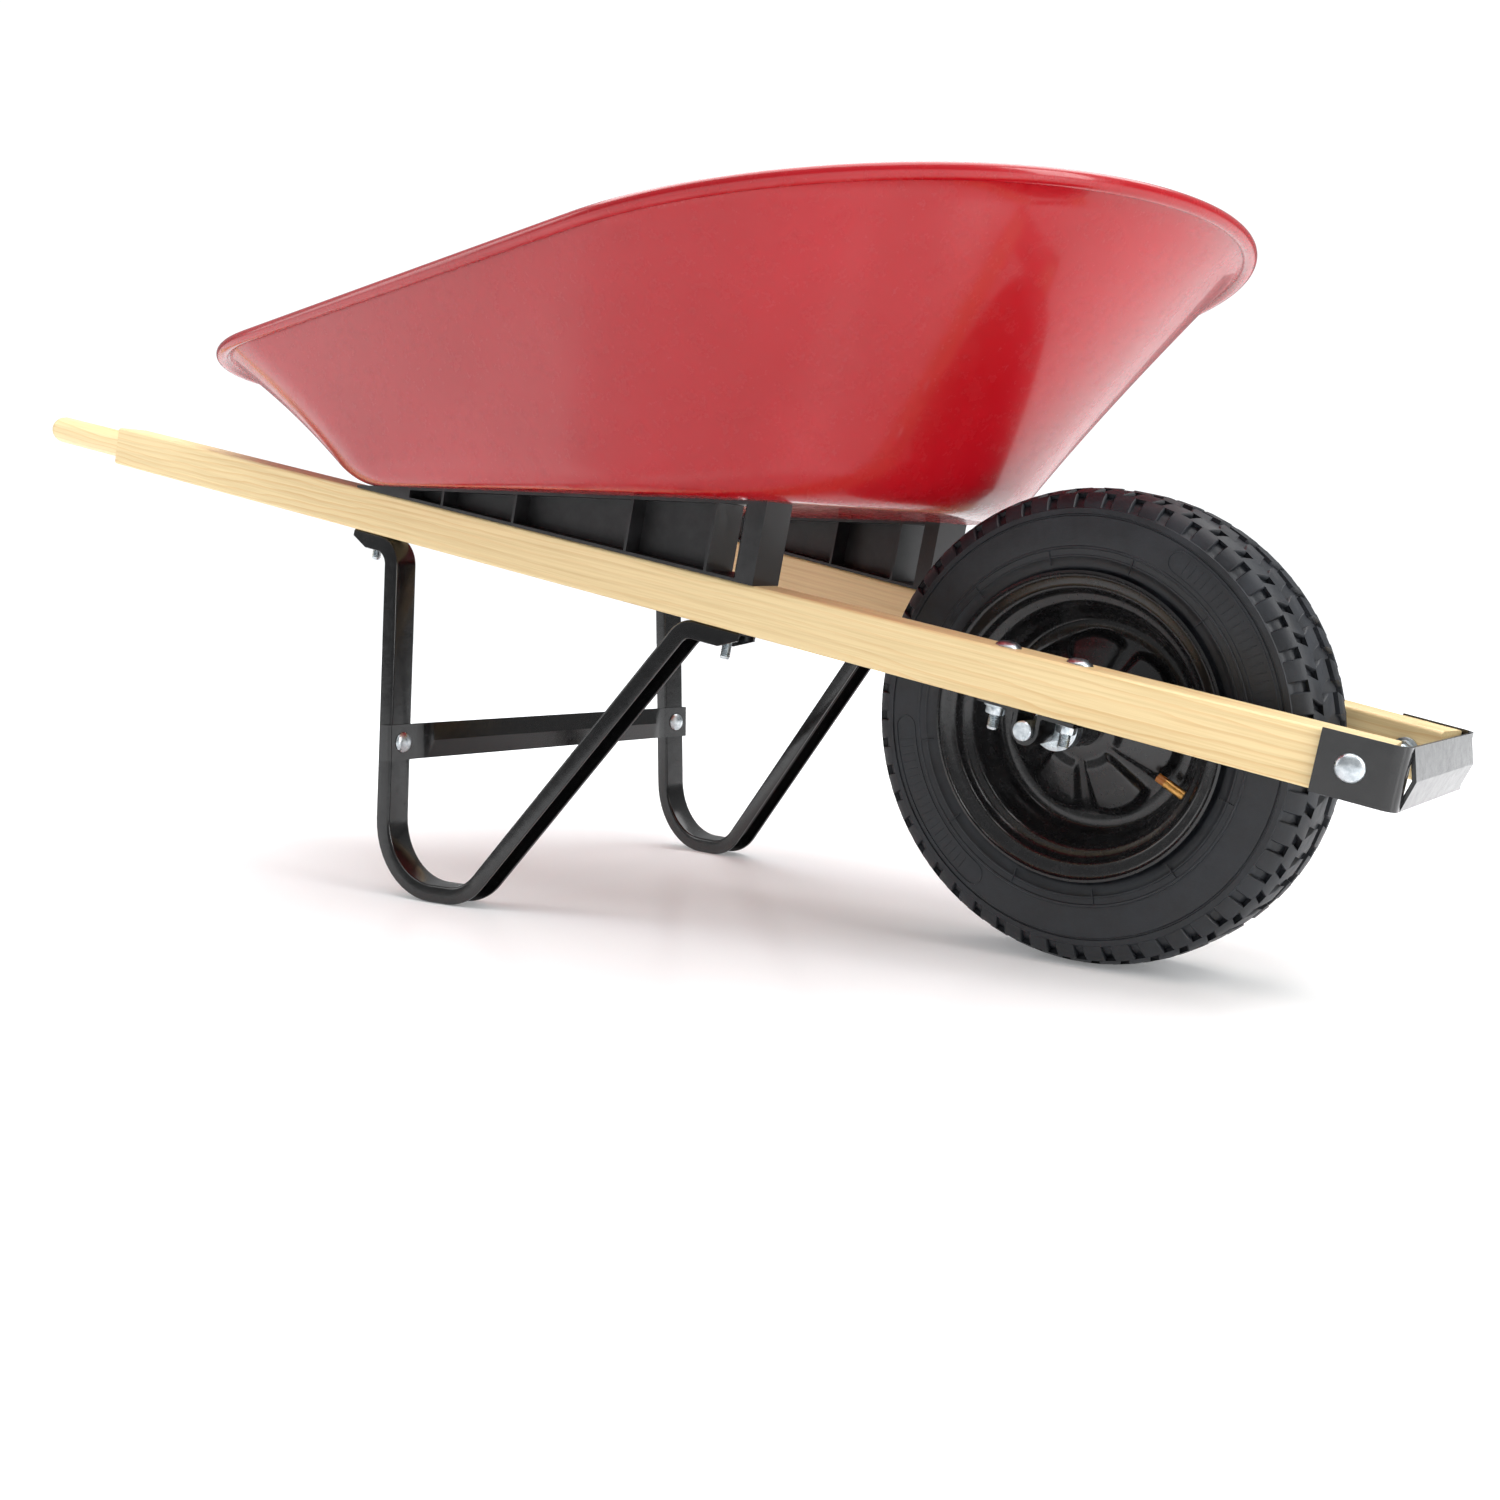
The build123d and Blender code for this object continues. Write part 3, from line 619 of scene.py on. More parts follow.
def repeat_about_axle(name, unit, count, finish):
    """Geometry Nodes: copies of a unit, drawn about the origin, at equal turns about the axle."""
    tree, given = copying_tree(name, [("Count", "Int"), ("Centre", "Vector")])
    add, link = tree.nodes.new, tree.links.new
    line = add("GeometryNodeMeshLine")
    line.inputs["Offset"].default_value = (0, 0, 0)
    link(given.outputs["Count"], line.inputs["Count"])
    place = add("GeometryNodeSetPosition")
    link(line.outputs["Mesh"], place.inputs["Geometry"])
    link(given.outputs["Centre"], place.inputs["Position"])
    index = add("GeometryNodeInputIndex")
    share = add("ShaderNodeMath")
    share.operation = "DIVIDE"
    link(index.outputs[0], share.inputs[0])
    link(given.outputs["Count"], share.inputs[1])
    turn = add("ShaderNodeMath")
    turn.operation = "MULTIPLY"
    turn.inputs[1].default_value = 2 * pi
    link(share.outputs[0], turn.inputs[0])
    spin = add("ShaderNodeCombineXYZ")
    link(turn.outputs[0], spin.inputs["Y"])
    set_down(tree, given, place.outputs["Geometry"], spin.outputs["Vector"])

    values = {"Unit": unit, "Count": count, "Centre": tuple(AXLE), "Finish": finish}
    return grown(name, tree, bpy.data.meshes.new(name), values)


def label_rib(verts, faces, side, start, end, inner, outer):
    """A thin moulded outline of an empty label panel on the sidewall, with round ends."""
    middle = (inner + outer) / 2
    reach = (outer - inner) / 2
    path = []
    steps = 28
    for i in range(steps + 1):
        path.append((start + (end - start) * i / steps, outer))
    for i in range(1, 8):
        turn = pi / 2 - pi * i / 8
        path.append((end + reach * cos(turn) / middle, middle + reach * sin(turn)))
    for i in range(steps + 1):
        path.append((end + (start - end) * i / steps, inner))
    for i in range(1, 8):
        turn = -pi / 2 - pi * i / 8
        path.append((start + reach * cos(turn) / middle, middle + reach * sin(turn)))
    points = [Vector((r * cos(a), r * sin(a))) for a, r in path]
    count = len(points)
    first = len(verts)
    section = ((-0.8, -1.0), (-0.5, 0.7), (0.5, 0.7), (0.8, -1.0))
    for i, p in enumerate(points):
        run = (points[(i + 1) % count] - points[i - 1]).normalized()
        out = Vector((run.y, -run.x))
        for across, lift in section:
            q = p + out * across
            verts.append(AXLE + Vector((q.x, side * (SIDEWALL + lift), q.y)) * MM)
    size = len(section)
    for i in range(count):
        a, b = first + i * size, first + (i + 1) % count * size
        for j in range(size):
            k = (j + 1) % size
            faces.append((a + j, a + k, b + k, b + j))


def label_ribs():
    verts, faces = [], []
    for side in (1, -1):
        for middle in LABEL_MIDDLES:
            start, end = radians(middle - LABEL_REACH), radians(middle + LABEL_REACH)
            label_rib(verts, faces, side, start, end, LABEL_INNER, LABEL_OUTER)
    mesh = bpy.data.meshes.new("label_outline")
    mesh.from_pydata(verts, [], faces)
    return mesh


def moulded_bar(turn, inner, outer, width):
    """A low radial bar on each sidewall, drawn with the axle at the origin."""
    verts, faces = [], []
    section = ((-1 / 2, -0.9), (-1 / 4, 0.35), (1 / 4, 0.35), (1 / 2, -0.9))
    out = Vector((cos(turn), 0, sin(turn)))
    across = Vector((-sin(turn), 0, cos(turn)))
    for side in (1, -1):
        first = len(verts)
        for radius in (inner, (inner + outer) / 2, outer):
            for share, lift in section:
                y = side * (SIDEWALL + lift)
                spot = out * radius + across * (share * width) + Vector((0, y, 0))
                verts.append(spot * MM)
        for ring in range(2):
            a, b = first + ring * 4, first + ring * 4 + 4
            for j in range(4):
                k = (j + 1) % 4
                faces.append((a + j, a + k, b + k, b + j))
        faces.append((first, first + 1, first + 2, first + 3))
        faces.append((first + 8, first + 9, first + 10, first + 11))
    mesh = bpy.data.meshes.new("bars")
    mesh.from_pydata(verts, [], faces)
    return mesh


def wheel(made):
    carcass = turned("tyre_carcass", tyre_profile(), 240)
    piece(carcass, "wheel", made["rubber"], ("tyre",))
    tread = repeat_about_axle("tyre_tread", tread_unit(), TREAD_PITCHES, made["rubber"])
    piece(tread, "wheel", made["rubber"], smooth=False)
    piece(label_ribs(), "wheel", made["rubber"])
    # fine ribbing inside the label panels, and a few mould lines under them
    rib = moulded_bar(0.0, 156.0, 168.0, 1.3)
    ribbing = repeat_about_axle("sidewall_ribs", rib, 150, made["rubber"])
    keep_ribs_in_panels(ribbing)
    piece(ribbing, "wheel", made["rubber"])
    line = moulded_bar(radians(8), 134.0, 149.0, 0.9)
    lines = repeat_about_axle("mould_lines", line, 12, made["rubber"])
    piece(lines, "wheel", made["rubber"])
    rims(made)


def keep_ribs_in_panels(mesh):
    """Ribs outside the label panels are taken away."""
    tidy = bmesh.new()
    tidy.from_mesh(mesh)
    away = []
    for vert in tidy.verts:
        arm = vert.co - AXLE
        turn = degrees(atan2(arm.z, arm.x))
        if min(abs(turn - LABEL_MIDDLES[0]), abs(turn - LABEL_MIDDLES[1] + 360)) > LABEL_REACH - 2:
            away.append(vert)
    bmesh.ops.delete(tidy, geom=away, context="VERTS")
    tidy.to_mesh(mesh)
    tidy.free()


PETALS = 7
PETAL_START = radians(-42)
PETAL_INNER, PETAL_OUTER, PETAL_RISE = 27.0, 85.0, 7.0
RIM_SHEET = 2.2
RIM_STEP, RIM_TURNS = 1.6, 252     # spacing along the pressing's line, and points round it


def eased(t):
    """From 0 to 1 with a soft start and end."""
    t = min(1.0, max(0.0, t))
    return t * t * (3 - 2 * t)


def petal(radius, turn):
    """How far the disc stands out at a place: rounded lobes between narrow valleys."""
    if radius < PETAL_INNER or radius > PETAL_OUTER:
        return 0.0
    phase = (turn - PETAL_START) * PETALS / (2 * pi)
    off = abs(phase - round(phase)) * 2            # 0 in a valley, 1 on a lobe's middle
    flank = eased((off - 0.10) / 0.30)
    tip = 81 - 9 * (1 - off) ** 2
    return PETAL_RISE * flank * eased((tip - radius) / 6.5) * eased((radius - PETAL_INNER) / 14)


RIM_LINE = (
    (26.0, 18.2), (25.6, 22.0), (24.4, 26.5), (21.0, 33.0), (17.3, 41.0), (13.6, 49.0),
    (10.0, 57.0), (6.6, 65.0), (3.8, 71.0), (1.9, 75.5), (0.9, 79.0), (0.4, 83.0),
    (0.4, 86.5), (1.5, 89.2), (4.5, 91.8), (9.0, 94.0), (14.0, 97.5), (20.0, 100.6),
    (25.0, 102.4), (28.4, 104.2), (30.2, 107.4), (32.4, 110.6), (36.5, 112.6), (40.6, 113.8),
    (42.4, 116.4), (43.2, 120.5), (44.2, 124.2), (46.0, 126.3), (48.0, 126.9),
)


def rim_face(name, side):
    """A pressed half of the wheel with its lobes, as a skin with an inner and an outer face."""
    line = [Vector(p) for p in RIM_LINE]
    fine = []
    for a, b in zip(line, line[1:]):
        steps = max(1, int((b - a).length / RIM_STEP))
        fine += [a.lerp(b, i / steps) for i in range(steps)]
    fine.append(line[-1])
    rings = []
    backs = []
    for i, p in enumerate(fine):
        run = (fine[min(i + 1, len(fine) - 1)] - fine[max(i - 1, 0)]).normalized()
        back = p + Vector((-run.y, run.x)) * RIM_SHEET
        ring, under = [], []
        for j in range(RIM_TURNS):
            turn = 2 * pi * j / RIM_TURNS
            lobe = petal(p.y, turn)
            arm = Vector((cos(turn), 0, sin(turn)))
            ring.append(AXLE + (arm * p.y + Vector((0, side * (p.x + lobe), 0))) * MM)
            under.append(AXLE + (arm * back.y + Vector((0, side * (back.x + lobe), 0))) * MM)
        rings.append(ring)
        backs.append(under)
    return shell(name, rings + list(reversed(backs)), closed_profile=True)


def rims(made):
    for name, side in (("rim_left", 1), ("rim_right", -1)):
        mesh = rim_face(name + "_pressing", side)
        piece(mesh, "wheel", made["rim"], (name,))


# ---- handle frame: places along the left or the right handle, in millimetres ----
HANDLE_SLOPE, HANDLE_SPREAD = 0.2237, 0.1336
HANDLE_AXIS, HANDLE_FOOT = 113.0, 216.2
HANDLE_HEIGHT, HANDLE_WIDTH = 44.0, 40.0
HANDLE_OVER_AXLE = 16.2        # from the axle up to the handles' underside
ROW_SHIFT = Vector((AXLE.x / MM, 0, 0))
SIDES = (1, -1)


def handle_axes(side):
    along = Vector((1, -side * HANDLE_SPREAD, -HANDLE_SLOPE)).normalized()
    out = Vector((HANDLE_SLOPE, 0, 1)).normalized()
    return along, out.cross(along), out


def on_handle(side, x, z, y=0.0):
    """A point along the handle, above its underside and off its middle toward the outside."""
    along, across, out = handle_axes(side)
    foot = ROW_SHIFT + Vector((0, side * HANDLE_AXIS, HANDLE_FOOT))
    return foot + along * x + across * (side * y) + out * z


def rounded_path(points, radii, steps=9):
    """A path with its corners rounded: places and unit directions."""
    points = [Vector(p) for p in points]
    places = [points[0]]
    for i in range(1, len(points) - 1):
        into = (points[i] - points[i - 1]).normalized()
        out = (points[i + 1] - points[i]).normalized()
        half = into.angle(out) / 2
        back = radii[i - 1] * tan(half)
        start, end = points[i] - into * back, points[i] + out * back
        inward = (out - into).normalized()
        centre = points[i] + inward * (radii[i - 1] / cos(half))
        a, b = start - centre, end - centre
        for k in range(steps + 1):
            t = k / steps
            arm = (a * sin((1 - t) * 2 * half) + b * sin(t * 2 * half)) / sin(2 * half)
            places.append(centre + arm)
    places.append(points[-1])
    ways = []
    for i in range(len(places)):
        if i == 0:
            ways.append((places[1] - places[0]).normalized())
        elif i == len(places) - 1:
            ways.append((places[-1] - places[-2]).normalized())
        else:
            before = (places[i] - places[i - 1]).normalized()
            after = (places[i + 1] - places[i]).normalized()
            ways.append((before + after).normalized())
    return places, ways


def swept(name, sections):
    """A skin through equal closed sections, with a flat face on each end."""
    mesh = bpy.data.meshes.new(name)
    count = len(sections[0])
    points = [p * MM for section in sections for p in section]
    faces = []
    for i in range(len(sections) - 1):
        for j in range(count):
            k = (j + 1) % count
            faces.append((i * count + j, i * count + k, (i + 1) * count + k, (i + 1) * count + j))
    faces.append(tuple(range(count)))
    faces.append(tuple(range(len(points) - count, len(points))))
    mesh.from_pydata(points, [], faces)
    return mesh


# ---- legs and their brace ----
LEG_SPREAD, LEG_AXIS, LEG_SPLAY = 0.1269, 123.5, radians(1.5)
LEG_WIDTH, LEG_DEPTH, LEG_SHEET = 29.5, 17.0, 3.0
LEG_UPRIGHT, LEG_TOE, LEG_RISE = -684.5, -580.0, 1.077
LEG_BENDS = (32.0, 62.0, 46.0, 28.0)
LEG_REAR_END, LEG_FRONT_END = -747.6, -264.3
LEG_GAP = 0.4                  # under the handle
LEG_SET, SET_FROM, SET_OVER = 6.5, -430.0, 110.0
TAB_TAPER = 20.0               # the flanges run out over this length at each end
TAB_FLANGE = 0.35              # the share of a flange that is left there
BRACE_HEIGHT, BRACE_LEVEL = 37.0, 157.0
BRACE_CREASE = 4.0


def leg_axes(side):
    turn = atan2(LEG_SPREAD, 1)
    along = Vector((cos(turn), -side * sin(turn), 0))
    across = Vector((-sin(turn), -side * cos(turn), 0))
    normal = across * cos(LEG_SPLAY) - Vector((0, 0, 1)) * sin(LEG_SPLAY)
    up = normal.cross(along) * side
    return along, up, normal


def on_leg(side, x, y, z=0.0):
    along, up, normal = leg_axes(side)
    return ROW_SHIFT + Vector((0, side * LEG_AXIS, HANDLE_FOOT)) + along * x + up * y + normal * z


def leg_section():
    """Offset from the path and place across the leg, round a channel with rolled corners."""
    half, sheet, depth = LEG_WIDTH / 2, LEG_SHEET, LEG_DEPTH
    side = [(0, half - 3.2), (0.3, half - 1.7), (1.2, half - 0.6), (2.8, half)]
    side += [(depth - 0.6, half), (depth, half - 0.6), (depth, half - sheet + 0.5)]
    side += [(depth - 0.5, half - sheet), (sheet + 1, half - sheet), (sheet, half - sheet - 1)]
    return side + [(offset, -across) for offset, across in reversed(side)]


def leg(side):
    fall = HANDLE_SLOPE * cos(atan2(LEG_SPREAD, 1))
    foot = -(HANDLE_FOOT - LEG_WIDTH / 2 * sin(LEG_SPLAY)) / cos(LEG_SPLAY) + LEG_DEPTH

    def under_handle(x):
        return (x, -fall * x - LEG_GAP)

    top = -(foot - LEG_RISE * LEG_TOE) / (LEG_RISE + fall)
    points = [under_handle(LEG_REAR_END), under_handle(LEG_UPRIGHT), (LEG_UPRIGHT, foot)]
    points += [(LEG_TOE, foot), under_handle(top), under_handle(LEG_FRONT_END)]
    places, ways = rounded_path(points, LEG_BENDS, 12)
    for end, at, way in ((-1, len(places) - 1, -1), (0, 1, 1)):
        places.insert(at, places[end] + ways[end] * (TAB_TAPER * way))
        ways.insert(at, ways[end])
    sections = []
    for i, (place, way) in enumerate(zip(places, ways)):
        outward = Vector((way.y, -way.x))
        taper = TAB_FLANGE if i in (0, len(places) - 1) else 1.0
        section = []
        for offset, across in leg_section():
            deep = offset if offset <= LEG_SHEET else LEG_SHEET + (offset - LEG_SHEET) * taper
            spot = place + outward * deep
            # the front of the leg is set inward, under the middle of the handle
            inward = LEG_SET * min(1.0, max(0.0, (spot.x - SET_FROM) / SET_OVER))
            section.append(on_leg(side, spot.x, spot.y, across + inward))
        sections.append(section)
    return swept("leg", sections)


def brace_spot(side):
    """The front of the leg's web at the brace bolt."""
    level = (BRACE_LEVEL - HANDLE_FOOT) / cos(LEG_SPLAY)
    return on_leg(side, LEG_UPRIGHT, level)


def brace():
    """A creased strip between the legs, wrapped round the outer corner of each."""
    along, _, _ = leg_axes(1)
    sideways = Vector((-along.y, along.x, 0)).normalized()
    spot = brace_spot(1) + along * 0.2
    half = LEG_WIDTH / 2 + 1.0
    corner = spot + sideways * half
    inner = spot - sideways * (half + 4)
    tip = corner - along * 11
    flat = [(inner.x, 0), (inner.x, inner.y), (corner.x, corner.y), (tip.x, tip.y)]
    places, ways = rounded_path(flat, (16.0, 0.6), 6)
    straight = ways[0]
    first = (places[0], straight)
    rest = [(Vector((inner.x, inner.y - back)), straight) for back in (22, 18, 12, 8)]
    rest += list(zip(places, ways))[1:]
    stations = [(Vector((p.x, -p.y)), Vector((-w.x, w.y))) for p, w in reversed(rest)]
    stations += [first] + rest
    sections = []
    for place, way in stations:
        out = Vector((way.y, -way.x))
        near = min(1.0, max(0.0, (abs(inner.y) - 8 - abs(place.y)) / 10))
        bulge = BRACE_CREASE * near
        top = BRACE_HEIGHT / 2
        profile = [(0, top), (bulge, 0), (0, -top), (3, -top), (3 + bulge, 0), (3, top)]
        section = []
        for push, height in profile:
            edge = place + out * push
            section.append(Vector((edge.x, edge.y, BRACE_LEVEL + height)))
        sections.append(section)
    return swept("brace", sections)


def axle_strap(side):
    """A strap bent down round the axle, with a bolted flange on each side of it."""
    slope = atan2(HANDLE_SLOPE, 1)
    drop, ahead = HANDLE_OVER_AXLE * cos(slope), HANDLE_OVER_AXLE * sin(slope)
    inner, sheet, reach = 8.4, 3.4, 43.0
    half, edge, thinned = 14.0, 0.8, 0.97
    outer = inner + sheet
    top = []
    for i in range(15):
        turn = pi + pi * i / 14
        top.append((ahead + inner * cos(turn), -drop + inner * sin(turn)))
    under = []
    for i in range(15):
        turn = 2 * pi - pi * i / 14
        under.append((ahead + outer * cos(turn), -drop + outer * sin(turn)))
    loop = [(-reach, 0), (ahead - inner, 0)] + top + [(ahead + inner, 0), (reach, 0)]
    loop += [(reach, -sheet), (ahead + outer + 1.5, -sheet), (ahead + outer, -sheet - 1.5)]
    loop += under + [(ahead - outer, -sheet - 1.5), (ahead - outer - 1.5, -sheet), (-reach, -sheet)]
    run = Vector((1, 0, -HANDLE_SLOPE)).normalized()
    up = Vector((HANDLE_SLOPE, 0, 1)).normalized()
    foot = ROW_SHIFT + Vector((0, side * HANDLE_AXIS, HANDLE_FOOT))
    sections = []
    for across, grow in ((-half, thinned), (edge - half, 1), (half - edge, 1), (half, thinned)):
        start = foot + Vector((0, across, 0))
        sections.append([start + run * x + up * (z * grow) for x, z in loop])
    return swept("axle_strap", sections)


# ---- fasteners ----
BOLT_RADIUS = 4.75
THREAD_PITCH, THREAD_DEPTH = 1.6, 0.75
TRAY_BOLT_BELOW = 29.0         # from the handle's underside to the tray bolts' ends
NUT_BELOW = -3.5               # from the handle's underside, with the metal under it


def lathed(profile, count=20):
    """A closed solid from (radius, height) points turned about Z; both ends lie on the axis."""
    verts = [Vector((0, 0, profile[0][1]))]
    faces = []
    for radius, height in profile[1:-1]:
        for j in range(count):
            turn = 2 * pi * j / count
            verts.append(Vector((radius * cos(turn), radius * sin(turn), height)))
    verts.append(Vector((0, 0, profile[-1][1])))
    rings = len(profile) - 2
    for j in range(count):
        k = (j + 1) % count
        faces.append((0, 1 + j, 1 + k))
        base = 1 + (rings - 1) * count
        faces.append((len(verts) - 1, base + k, base + j))
        for i in range(rings - 1):
            a, b = 1 + i * count, 1 + (i + 1) * count
            faces.append((a + j, b + j, b + k, a + k))
    return [v * MM for v in verts], faces


def bolt_unit(length, thread, head=10.5, rise=4.6):
    """Carriage bolt: a domed head over Z = 0 and a threaded shank below."""
    profile = [(0, rise)]
    for i in range(1, 8):
        turn = pi / 2 * i / 8
        profile.append((head * sin(turn), rise * cos(turn)))
    start = -length + thread
    profile += [(head, 0.35), (head - 0.3, 0.0), (BOLT_RADIUS, 0.0), (BOLT_RADIUS, start)]
    for i in range(int(thread / THREAD_PITCH) - 1):
        profile.append((BOLT_RADIUS - THREAD_DEPTH, start - THREAD_PITCH * (i + 0.5)))
        profile.append((BOLT_RADIUS, start - THREAD_PITCH * (i + 1)))
    profile += [(BOLT_RADIUS - 0.8, -length), (0, -length)]
    mesh = bpy.data.meshes.new("bolt")
    verts, faces = lathed(profile)
    mesh.from_pydata(verts, [], faces)
    return mesh


def nut_unit(across=14.3, height=8.0, washer=10.2):
    """Hexagon nut hanging under Z = 0, with its washer on top."""
    ring = [(0, 0), (washer, 0), (washer, -1.4), (washer - 0.4, -1.7), (0, -1.7)]
    verts, faces = lathed(ring, 28)
    corner = across / 2 / cos(pi / 6)
    count = 24
    rings = ((0.90, -1.5), (0.985, -2.2), (0.985, -height + 0.9), (0.90, -height))
    first = len(verts)
    for grow, z in rings:
        for j in range(count):
            turn = 2 * pi * j / count
            flat = across / 2 / cos((turn + pi / 6) % (pi / 3) - pi / 6)
            radius = min(flat, corner * grow)
            verts.append(Vector((radius * cos(turn), radius * sin(turn), z)) * MM)
    for i in range(len(rings) - 1):
        a, b = first + i * count, first + (i + 1) * count
        for j in range(count):
            k = (j + 1) % count
            faces.append((a + j, b + j, b + k, a + k))
    faces.append(tuple(range(first, first + count)))
    faces.append(tuple(range(len(verts) - count, len(verts))))
    mesh = bpy.data.meshes.new("nut")
    mesh.from_pydata(verts, [], faces)
    return mesh


def copies_at(name, unit, places, finish):
    """Geometry Nodes: a unit set down at each place, turned by the angles kept on its point."""
    tree, given = copying_tree(name, [("Places", "Geometry")])
    turn = tree.nodes.new("GeometryNodeInputNamedAttribute")
    turn.data_type = "FLOAT_VECTOR"
    turn.inputs["Name"].default_value = "turn"
    set_down(tree, given, given.outputs["Places"], turn.outputs["Attribute"])

    spots = bpy.data.meshes.new(name + "_spots")
    spots.from_pydata([spot * MM for spot, _, _ in places], [], [])
    kept = spots.attributes.new("turn", "FLOAT_VECTOR", "POINT")
    for i, (_, along, out) in enumerate(places):
        across = out.cross(along)
        kept.data[i].vector = Matrix((along, across, out)).transposed().to_euler()
    return grown(name, tree, spots, {"Unit": unit, "Finish": finish})


def grown(name, tree, mesh, values):
    """A plain mesh from a node tree; a mesh among the values is lent an object."""
    lent = []
    for key, value in values.items():
        if isinstance(value, bpy.types.Mesh):
            sample = bpy.data.objects.new(name + "_unit", value)
            bpy.context.collection.objects.link(sample)
            lent.append(sample)
            values[key] = sample
    holder = bpy.data.objects.new(name, mesh)
    bpy.context.collection.objects.link(holder)
    modifier = holder.modifiers.new(name, "NODES")
    modifier.node_group = tree
    for socket in tree.interface.items_tree:
        if socket.in_out == "INPUT" and socket.name in values:
            modifier[socket.identifier] = values[socket.name]
    view = bpy.context.evaluated_depsgraph_get()
    result = bpy.data.meshes.new_from_object(holder.evaluated_get(view))
    result.name = name
    holder.modifiers.clear()
    for thing in [holder] + lent:
        bpy.data.objects.remove(thing)
    result.materials.clear()
    return result


FRONT_TRAY_BOLT, REAR_TRAY_BOLT = -291.5, -746.0
BRACKET_BOLTS = (-30.0, 30.0)
GUARD_BOLT = 238.0


def floor_over_handle(x):
    """Height of the tray's floor over the handle's underside, square to the handle."""
    low = on_handle(1, x, 0) - ROW_SHIFT
    _, _, out = handle_axes(1)
    gap = FLOOR_HEIGHT + SHEET + FLOOR_SLOPE * low.x - low.z
    return gap / (out.z - FLOOR_SLOPE * out.x)


def upright_places(stations, height):
    places = []
    for side in SIDES:
        along, _, out = handle_axes(side)
        places += [(on_handle(side, x, height), along, out) for x in stations]
    return places


def guard_places(depth):
    places = []
    for side in SIDES:
        along, across, _ = handle_axes(side)
        spot = on_handle(side, GUARD_BOLT, HANDLE_HEIGHT / 2, HANDLE_WIDTH / 2 + 3.2 + depth)
        places.append((spot, along, across * side))
    return places


def brace_places(depth):
    places = []
    for side in SIDES:
        along, _, _ = leg_axes(side)
        places.append((brace_spot(side) + along * depth, Vector((0, 0, 1)), along))
    return places


def fasteners(made):
    jobs = []
    for name, x in (("front_tray_bolts", FRONT_TRAY_BOLT), ("rear_tray_bolts", REAR_TRAY_BOLT)):
        top = floor_over_handle(x) + 0.3
        unit = bolt_unit(top + TRAY_BOLT_BELOW, 30.0)
        jobs.append((name, unit, upright_places([x], top)))
    tray_nuts = upright_places([FRONT_TRAY_BOLT, REAR_TRAY_BOLT], NUT_BELOW)
    jobs.append(("tray_nuts", nut_unit(), tray_nuts))
    unit = bolt_unit(HANDLE_HEIGHT + 24.0, 26.0)
    jobs.append(("bracket_bolts", unit, upright_places(BRACKET_BOLTS, HANDLE_HEIGHT)))
    jobs.append(("bracket_nuts", nut_unit(), upright_places(BRACKET_BOLTS, NUT_BELOW)))
    jobs.append(("guard_bolts", bolt_unit(56.0, 16.0), guard_places(0.0)))
    jobs.append(("guard_nuts", nut_unit(), guard_places(-43.3)))
    jobs.append(("brace_bolts", bolt_unit(22.0, 12.0), brace_places(3.4)))
    jobs.append(("brace_nuts", nut_unit(), brace_places(-LEG_SHEET - 0.1)))
    for name, unit, places in jobs:
        mesh = copies_at(name + "_threaded", unit, places, made["zinc"])
        piece(mesh, "frame", made["zinc"], (name,))


def metalwork(made):
    for name, side in (("leg_left", 1), ("leg_right", -1)):
        mesh = leg(side)
        mesh.name = name + "_channel"
        piece(mesh, "frame", made["frame"], (name,), sharp=40)
    piece(brace(), "frame", made["frame"], ("leg_brace",), sharp=20)
    for name, side in (("axle_bracket_left", 1), ("axle_bracket_right", -1)):
        mesh = axle_strap(side)
        mesh.name = name + "_strap"
        piece(mesh, "frame", made["frame"], (name,), sharp=35)
    fasteners(made)


# ---- studio ----
BEHIND = 1.1                   # brightness of the background that the camera sees
ROOM_LOW, ROOM_HIGH = 0.22, 0.62   # brightness of the room that lights the barrow
FLOOR_GLOSS = 0.12


def surroundings():
    """White behind the barrow; the room that lights it is dimmer, and darkest low down."""
    world = bpy.data.worlds.new("studio")
    bpy.context.scene.world = world
    world.use_nodes = True
    tree = world.node_tree
    back = tree.nodes["Background"]
    back.inputs["Color"].default_value = (0.97, 0.985, 1, 1)
    way = tree.nodes.new("ShaderNodeLightPath")
    place = tree.nodes.new("ShaderNodeTexCoord")
    parts = tree.nodes.new("ShaderNodeSeparateXYZ")
    height = tree.nodes.new("ShaderNodeMapRange")
    height.inputs["From Min"].default_value = -0.1
    height.inputs["From Max"].default_value = 0.9
    height.inputs["To Min"].default_value = ROOM_LOW
    height.inputs["To Max"].default_value = ROOM_HIGH
    choose = tree.nodes.new("ShaderNodeMix")
    choose.inputs["B"].default_value = BEHIND
    tree.links.new(place.outputs["Generated"], parts.inputs["Vector"])
    tree.links.new(parts.outputs["Z"], height.inputs["Value"])
    tree.links.new(height.outputs["Result"], choose.inputs["A"])
    tree.links.new(way.outputs["Is Camera Ray"], choose.inputs["Factor"])
    tree.links.new(choose.outputs["Result"], back.inputs["Strength"])


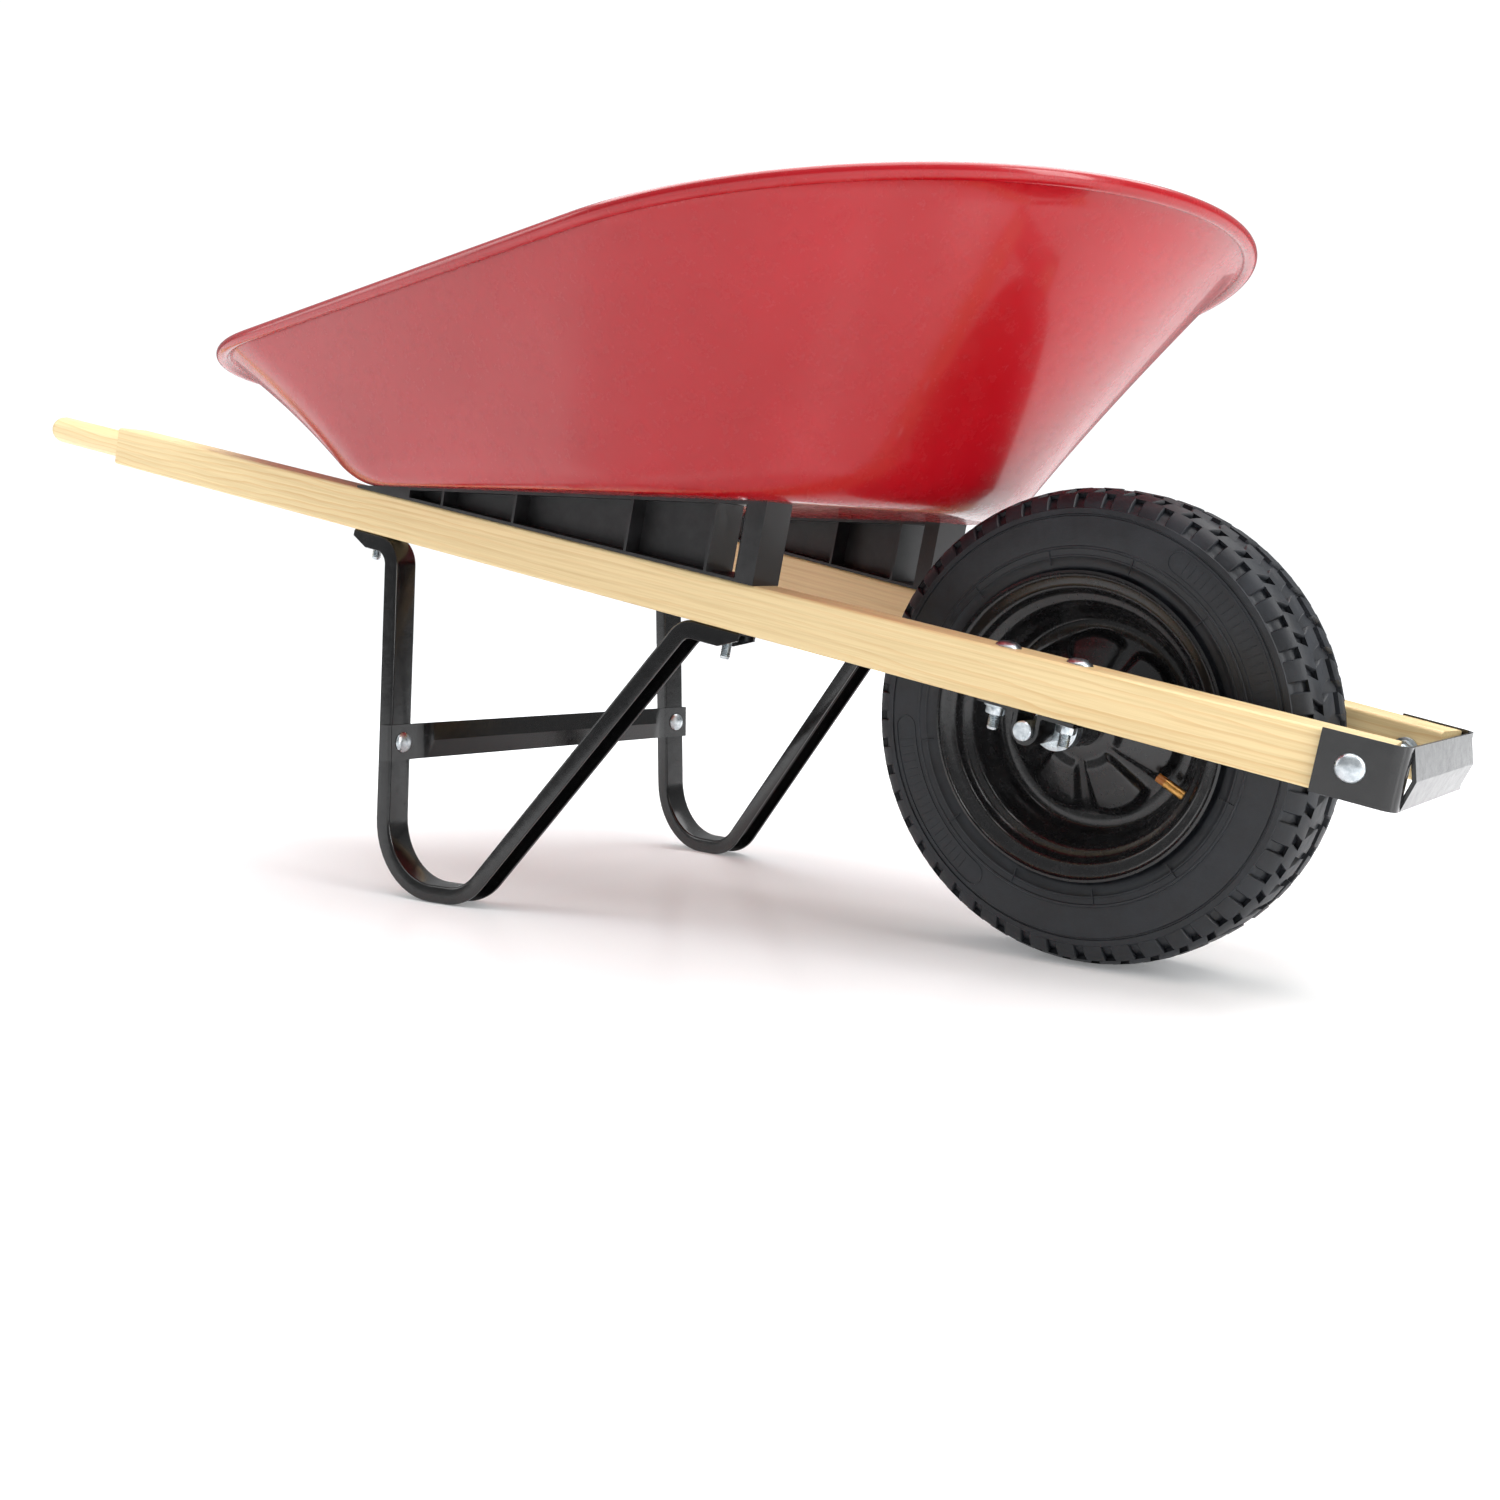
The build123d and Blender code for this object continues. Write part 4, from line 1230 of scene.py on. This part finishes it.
def studio():
    ground = bpy.data.meshes.new("ground")
    reach = 14.0
    corners = [(-reach, -reach, 0), (reach, -reach, 0), (reach, reach, 0), (-reach, reach, 0)]
    ground.from_pydata(corners, [], [(0, 1, 2, 3)])
    floor = bpy.data.objects.new("ground", ground)
    bpy.context.collection.objects.link(floor)
    s = Shader("ground")
    s.finish(
        (0.93, 0.935, 0.945, 1),
        1.0,
        Specular_IOR_Level=0.0,
        Emission_Color=(0.98, 0.99, 1, 1),
    )
    # the floor glows a little, and more with distance, so that it runs into the background
    reach_out = s.add("VectorMath", operation="LENGTH")
    s.join(s.place, "Object", reach_out, "Vector")
    glow = s.spread((reach_out, "Value"), 0.9, 3.2, 0.2, 1.0)
    s.join(glow, "Result", s.bsdf, "Emission Strength")
    gloss = s.add("BsdfGlossy")
    s.set(gloss, Color=(1, 1, 1, 1), Roughness=0.12)
    mix = s.add("MixShader")
    s.set(mix, Fac=FLOOR_GLOSS)
    s.tree.links.new(s.bsdf.outputs[0], mix.inputs[1])
    s.tree.links.new(gloss.outputs[0], mix.inputs[2])
    s.join(mix, "Shader", s.out, "Surface")
    ground.materials.append(s.material)
    surroundings()
    lamps = (
        ("overhead", (0.0, 0.2, 2.4), (0.0, 0.0, 0.2), (3.0, 3.0), 95),
        ("left_bank", (-2.4, -1.6, 1.5), (0.0, 0.0, 0.4), (0.7, 2.0), 12),
        ("right_bank", (2.7, -0.2, 1.5), (0.4, 0.0, 0.3), (0.8, 2.4), 45),
    )
    for name, at, target, size, power in lamps:
        lamp = bpy.data.lights.new(name, "AREA")
        lamp.shape = "RECTANGLE"
        lamp.size, lamp.size_y = size
        lamp.energy = power
        holder = bpy.data.objects.new(name, lamp)
        aim = (Vector(target) - Vector(at)).to_track_quat("-Z", "Y")
        holder.matrix_world = Matrix.Translation(at) @ aim.to_matrix().to_4x4()
        bpy.context.collection.objects.link(holder)
    view = bpy.context.scene.view_settings
    view.view_transform = "Standard"
    view.look = "None"


camera()
studio()
made = finishes()
finish_cad(made)
tray_shell(made["tray"])
wheel(made)
metalwork(made)
